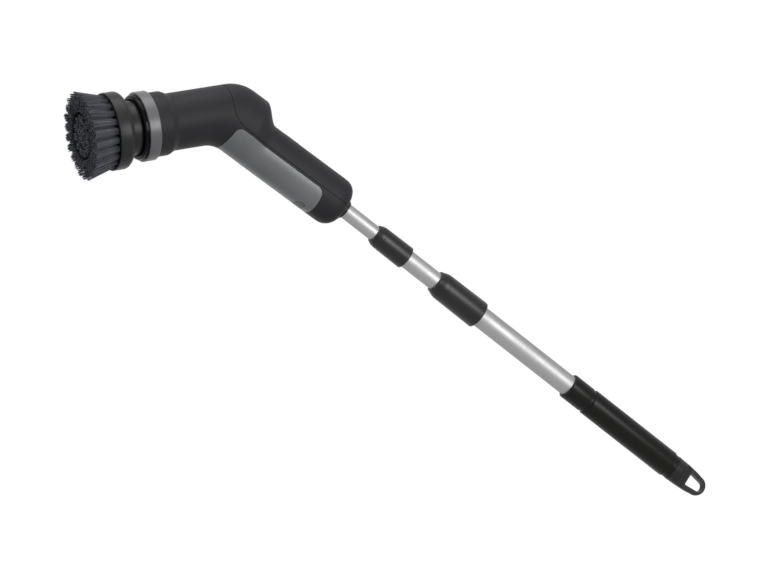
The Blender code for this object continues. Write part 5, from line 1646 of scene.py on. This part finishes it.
@dataclass
class HandGrip:
    """Front ring, long sleeve and the end cap with its hanging eye."""

    pole: Axis
    tube_radius: float = 0.0110
    tube_wall: float = 0.0010
    front_start: float = 0.3016
    front_length: float = 0.0250
    front_wall: float = 0.0025
    groove_length: float = 0.0034
    groove_wall: float = 0.0019
    sleeve_length: float = 0.1103
    sleeve_wall: float = 0.0030
    tail_length: float = 0.0052
    cap_wall: float = 0.0022
    cap_shoulder: float = 0.0135
    cap_shoulder_wall: float = 0.0018
    eye_place: float = 0.0334
    eye_radius: float = 0.0104
    cap_spigot: float = 0.0120
    cap_spigot_wall: float = 0.0016
    lug_half_thickness: float = 0.0043
    lug_start: float = 0.0198
    lug_blend: float = 0.0125
    eye_back: float = 0.0124
    eye_half_width: float = 0.0069
    eye_tip_place: float = 0.0020
    eye_tip_radius: float = 0.0054
    eye_corner: float = 0.0010
    overrun: float = 0.0030
    soft_step: float = 0.00035
    soft_share: float = 0.5
    soft_rounds: int = 5
    eye_steps: int = 12
    front_edge: float = 0.0014
    edge: float = 0.0007
    tip_share: float = 0.6
    arc_steps: int = 16
    steps: int = 112

    def sleeve_start(self) -> float:
        """Where the long sleeve starts along the pole."""
        return self.front_start + self.front_length + self.groove_length + FIT

    def cap_start(self) -> float:
        """Where the end cap starts along the pole."""
        return self.sleeve_start() + self.sleeve_length + self.tail_length + FIT

    def band(
        self, radius: float, start: float, seam: float, neck: float, front: Outline
    ) -> Outline:
        """Outline of a round band with a narrow neck behind its seam.

        Args:
            radius: Its outer radius.
            start: Where it starts along the pole.
            seam: Where its neck starts.
            neck: The neck's length.
            front: Its rounded front edge, from the side to the face.

        Returns:
            The closed outline.
        """
        bore, waist = self.tube_radius + FIT, self.tube_radius + self.groove_wall
        outline = [(bore, seam + neck), (waist, seam + neck), (waist, seam)]
        outline += reversed(rounded_edge(radius, seam, -1, 1, self.edge, 6))
        return outline + front + [(bore, start)]

    def front_ring(self) -> Piece:
        """Ring at the grip's front, with a narrow neck behind it.

        Returns:
            The new piece.
        """
        radius, start = self.tube_radius + self.front_wall, self.front_start
        front = rounded_edge(radius, start, -1, -1, self.front_edge, 8)
        outline = self.band(radius, start, start + self.front_length, self.groove_length, front)
        return turned("grip_ring", outline, self.pole, self.steps)

    def sleeve(self) -> Piece:
        """Long sleeve with its narrow tail.

        Returns:
            The new piece.
        """
        radius, start = self.tube_radius + self.sleeve_wall, self.sleeve_start()
        front = rounded_edge(radius, start, -1, -1, self.edge, 6)
        outline = self.band(radius, start, start + self.sleeve_length, self.tail_length, front)
        return turned("grip_long_sleeve", outline, self.pole, self.steps)

    def eye_outline(self) -> Outline:
        """Hanging eye: flat towards the grip, round at the tip.

        Returns:
            The closed outline.
        """
        middle = self.cap_start() + self.eye_place
        back = middle - self.eye_back
        wide = self.eye_half_width - self.eye_corner
        corners = (
            (wide, back + self.eye_corner, self.eye_corner, -90, 20),
            (0, middle + self.eye_tip_place, self.eye_tip_radius, 20, 160),
            (-wide, back + self.eye_corner, self.eye_corner, 160, 270),
        )
        points = []
        for rise, along, radius, first, last in corners:
            for step in range(self.eye_steps + 1):
                turn = math.radians(mix(first, last, step / self.eye_steps))
                points.append((rise + radius * math.cos(turn), along + radius * math.sin(turn)))
        return points

    def lug_outline(self) -> Outline:
        """Outline that flattens the cap's end to a lug.

        Returns:
            The closed outline.
        """
        start, half = self.cap_start(), self.lug_half_thickness
        wide = self.tube_radius + self.cap_wall + self.overrun
        blend_start = start + self.lug_start - self.lug_blend
        side = [(wide, start - self.cap_spigot - self.overrun)]
        for step in range(self.arc_steps + 1):
            turn = math.pi / 2 * step / self.arc_steps
            across = mix(wide, half, math.sin(turn))
            side.append((across, blend_start + self.lug_blend * (1 - math.cos(turn))))
        side.append((half, start + self.eye_place + self.eye_radius + self.overrun))
        return side + [(-across, along) for across, along in reversed(side)]

    def cap_outline(self) -> Outline:
        """Outline of the tapered cap with its round tip and its spigot in the tube.

        Returns:
            The closed outline.
        """
        start, reach = self.cap_start(), self.eye_radius
        middle = start + self.eye_place
        spigot = self.tube_radius - self.tube_wall - FIT
        inner, root = spigot - self.cap_spigot_wall, start - self.cap_spigot
        floor = start + self.cap_spigot_wall
        outline = []
        for step in range(self.arc_steps + 1):
            turn = math.pi / 2 * (1 - step / self.arc_steps)
            across = reach * math.cos(turn) if step else 0
            outline.append((across, middle + reach * math.sin(turn)))
        shoulder = self.tube_radius + self.cap_shoulder_wall
        outline.append((mix(shoulder, reach, 0.5), middle - reach * self.tip_share))
        outline.append((shoulder, start + self.cap_shoulder))
        outline += rounded_edge(self.tube_radius + self.cap_wall, start, -1, -1, self.edge, 6)
        outline += [(spigot, start), (spigot, root), (inner, root), (inner, floor), (0, floor)]
        return outline

    def end_cap(self) -> Piece:
        """Tapered cap whose cut edges are softened all over.

        Returns:
            The new piece.
        """
        cap = turned("end_cap_with_eye", self.cap_outline(), self.pole, self.steps)
        wide = self.tube_radius + self.cap_wall + self.overrun
        lug = prism("lug_form", self.lug_outline(), Plane.SIDE_ALONG, -wide, wide, self.pole)
        eye = prism("eye_form", self.eye_outline(), Plane.RISE_ALONG, -wide, wide, self.pole)
        carve(cap, (Cut.KEEP_SHARED, lug), (Cut.TAKE_AWAY, eye))
        drop_tools(lug, eye)
        return self.soften(cap)

    def soften(self, piece: Piece) -> Piece:
        """Round a piece's cut edges by a fine remesh and a light smoothing.

        Args:
            piece: The piece to soften.

        Returns:
            The same piece.
        """
        remesh = piece.modifiers.new("fine_remesh", "REMESH")
        remesh.mode = "VOXEL"
        remesh.voxel_size = self.soft_step
        relax = piece.modifiers.new("relax", "SMOOTH")
        relax.factor = self.soft_share
        relax.iterations = self.soft_rounds
        return carve(piece)

    def build(self, dresser: Dresser) -> None:
        """Make the grip's pieces and the end cap.

        Args:
            dresser: Gives each piece its slot's finish and body, and hides the nodes it stands
                for.
        """
        dresser.dress(self.front_ring(), Slot.GRIP_BLACK, Body.GRIP, "grip_front_ring")
        dresser.dress(self.sleeve(), Slot.GRIP_BLACK, Body.GRIP, "grip_sleeve")
        dresser.dress(self.end_cap(), Slot.FITTING_BLACK, Body.GRIP, "end_cap")


# Studio


@dataclass
class Softbox:
    """Rectangular lamp that looks at the object."""

    name: str
    place: Vector
    width: float
    height: float
    level: float

    def build(self, target: Vector) -> None:
        """Hang the lamp.

        Args:
            target: What it looks at. Its level is the light that falls there.
        """
        lamp = bpy.data.lights.new(self.name, "AREA")
        lamp.shape = "RECTANGLE"
        lamp.size, lamp.size_y = self.width, self.height
        away = target - self.place
        lamp.energy = self.level * math.pi**2 * away.length_squared
        holder = bpy.data.objects.new(self.name, lamp)
        holder.location = self.place
        holder.rotation_euler = away.to_track_quat("-Z", "Y").to_euler()
        bpy.context.scene.collection.objects.link(holder)


@dataclass
class Studio:
    """Camera at the photograph's angle, pale floor, white surroundings and soft lamps."""

    azimuth: float = math.radians(-23.3)
    elevation: float = math.radians(3.2)
    roll: float = math.radians(-8.75)
    distance: float = 4.9
    centre_across: float = -0.2470
    centre_up: float = 0.1461
    lens: float = 224.2
    sensor: float = 36.0
    key_azimuth: float = math.radians(18.0)
    floor_height: float = -0.90
    floor_radius: float = 14.0
    fill: float = 0.04
    glow: float = 0.99
    paper: tuple[Colour, Colour] = ((0.07, 0.07, 0.07), (0.08, 0.08, 0.08))
    paper_grain: float = 3
    paper_roughness: float = 0.9
    paper_specular: float = 0.1
    floor_sides: int = 96
    far: float = 60
    key_lift: float = 0.06
    lamp_reach: float = 2.2
    target: Vector = field(default_factory=lambda: Vector((-0.23, 0.0, 0.18)))

    def back(self) -> Vector:
        """Direction from the object to the camera."""
        flat, up = math.cos(self.elevation), math.sin(self.elevation)
        return Vector((math.sin(self.azimuth) * flat, -math.cos(self.azimuth) * flat, up))

    def key_way(self) -> Vector:
        """Direction from the object to the key lamp, right of the camera."""
        return Vector((math.sin(self.key_azimuth), -math.cos(self.key_azimuth), self.key_lift))

    def camera(self) -> None:
        """Camera fitted to the photograph."""
        back = self.back()
        level = Vector((math.cos(self.azimuth), math.sin(self.azimuth), 0))
        upright = back.cross(level)
        across = level * math.cos(self.roll) + upright * math.sin(self.roll)
        up = upright * math.cos(self.roll) - level * math.sin(self.roll)
        data = bpy.data.cameras.new("camera")
        data.lens, data.sensor_width = self.lens, self.sensor
        data.clip_end = self.far
        camera = bpy.data.objects.new("camera", data)
        place = back * self.distance + across * self.centre_across + up * self.centre_up
        turn = Matrix((across, up, back)).transposed().to_4x4()
        camera.matrix_world = Matrix.Translation(place) @ turn
        bpy.context.scene.collection.objects.link(camera)
        bpy.context.scene.camera = camera

    def world(self) -> None:
        """White surroundings that light the object a little less than they show."""
        world = bpy.data.worlds.new("studio")
        bpy.context.scene.world = world
        bench = NodeBench(world)
        level = bench.ranged(bench.seen(), (0, 1), (self.fill, 1))
        bench.fill(bench.shader, {"Color": (1, 1, 1, 1), "Strength": level})

    def floor(self) -> None:
        """Wide round floor, nearly white, that keeps the object's shadow."""
        maker = bmesh.new()
        radius, sides = self.floor_radius, self.floor_sides
        bmesh.ops.create_circle(maker, cap_ends=True, radius=radius, segments=sides)
        floor = make_piece("studio_floor", maker, Matrix.Translation((0, 0, self.floor_height)))
        paper = bpy.data.materials.new("floor_paper")
        bench = NodeBench(paper)
        cloud = bench.noise(self.paper_grain, GRAIN_DETAIL, bench.place())
        glow = bench.add("ShaderNodeMath", {0: bench.seen(), 1: self.glow}, operation="MULTIPLY")
        inputs = {
            "Base Color": bench.blend(bench.spread(cloud, 0, 1), *self.paper),
            "Roughness": self.paper_roughness,
            "Specular IOR Level": self.paper_specular,
            "Emission Color": (1, 1, 1, 1),
            "Emission Strength": glow.outputs[0],
        }
        bench.fill(bench.shader, inputs)
        floor.data.materials.append(paper)

    def lamps(self) -> tuple[Softbox, ...]:
        """Key, top, front and left lamps, all soft.

        Returns:
            The lamps.
        """
        target, back, up = self.target, self.back(), Vector((0, 0, 1))
        side = Vector((math.cos(self.azimuth), math.sin(self.azimuth), 0))
        key = target + self.key_way() * self.lamp_reach
        top = target + up * self.lamp_reach + back * 0.15
        front = target + back * 2.3 + up * 2.0
        left = target - side * self.lamp_reach + back * 0.9 + up * 0.4
        return (
            Softbox("key_softbox", key, width=1.1, height=1.1, level=0.92),
            Softbox("top_softbox", top, width=2.2, height=1.4, level=0.80),
            Softbox("front_softbox", front, width=2.4, height=1.6, level=0.12),
            Softbox("left_softbox", left, width=1.4, height=1.4, level=0.58),
        )

    def build(self) -> None:
        """Set up the camera, the surroundings and the lamps."""
        bpy.context.scene.view_settings.view_transform = "Standard"
        self.camera()
        self.world()
        self.floor()
        for lamp in self.lamps():
            lamp.build(self.target)


def main() -> None:
    """Build every sub-assembly in order, then the studio."""
    logging.basicConfig(level=logging.INFO, format="%(name)s: %(message)s")
    pole_place = -way_down(POLE_DROP) * POLE_REACH
    elbow = pole_place - way_down(HANDLE_DROP) * (HANDLE_LENGTH + SOCKET_STAND)
    handle = Axis.dropping(elbow, HANDLE_DROP)
    pole = Axis.dropping(pole_place, POLE_DROP)
    head = Axis(elbow, Vector((-1, 0, 0)), Vector((0, 0, 1)))
    dresser = Dresser()
    dresser.dress_nodes(frame["nodes"])
    Housing(elbow, handle, pole).build(dresser)
    Nose(head).build(dresser)
    Brush(head).build(dresser)
    Pole(pole).build(dresser)
    HandGrip(pole).build(dresser)
    Studio().build()


if __name__ == "__main__":
    main()
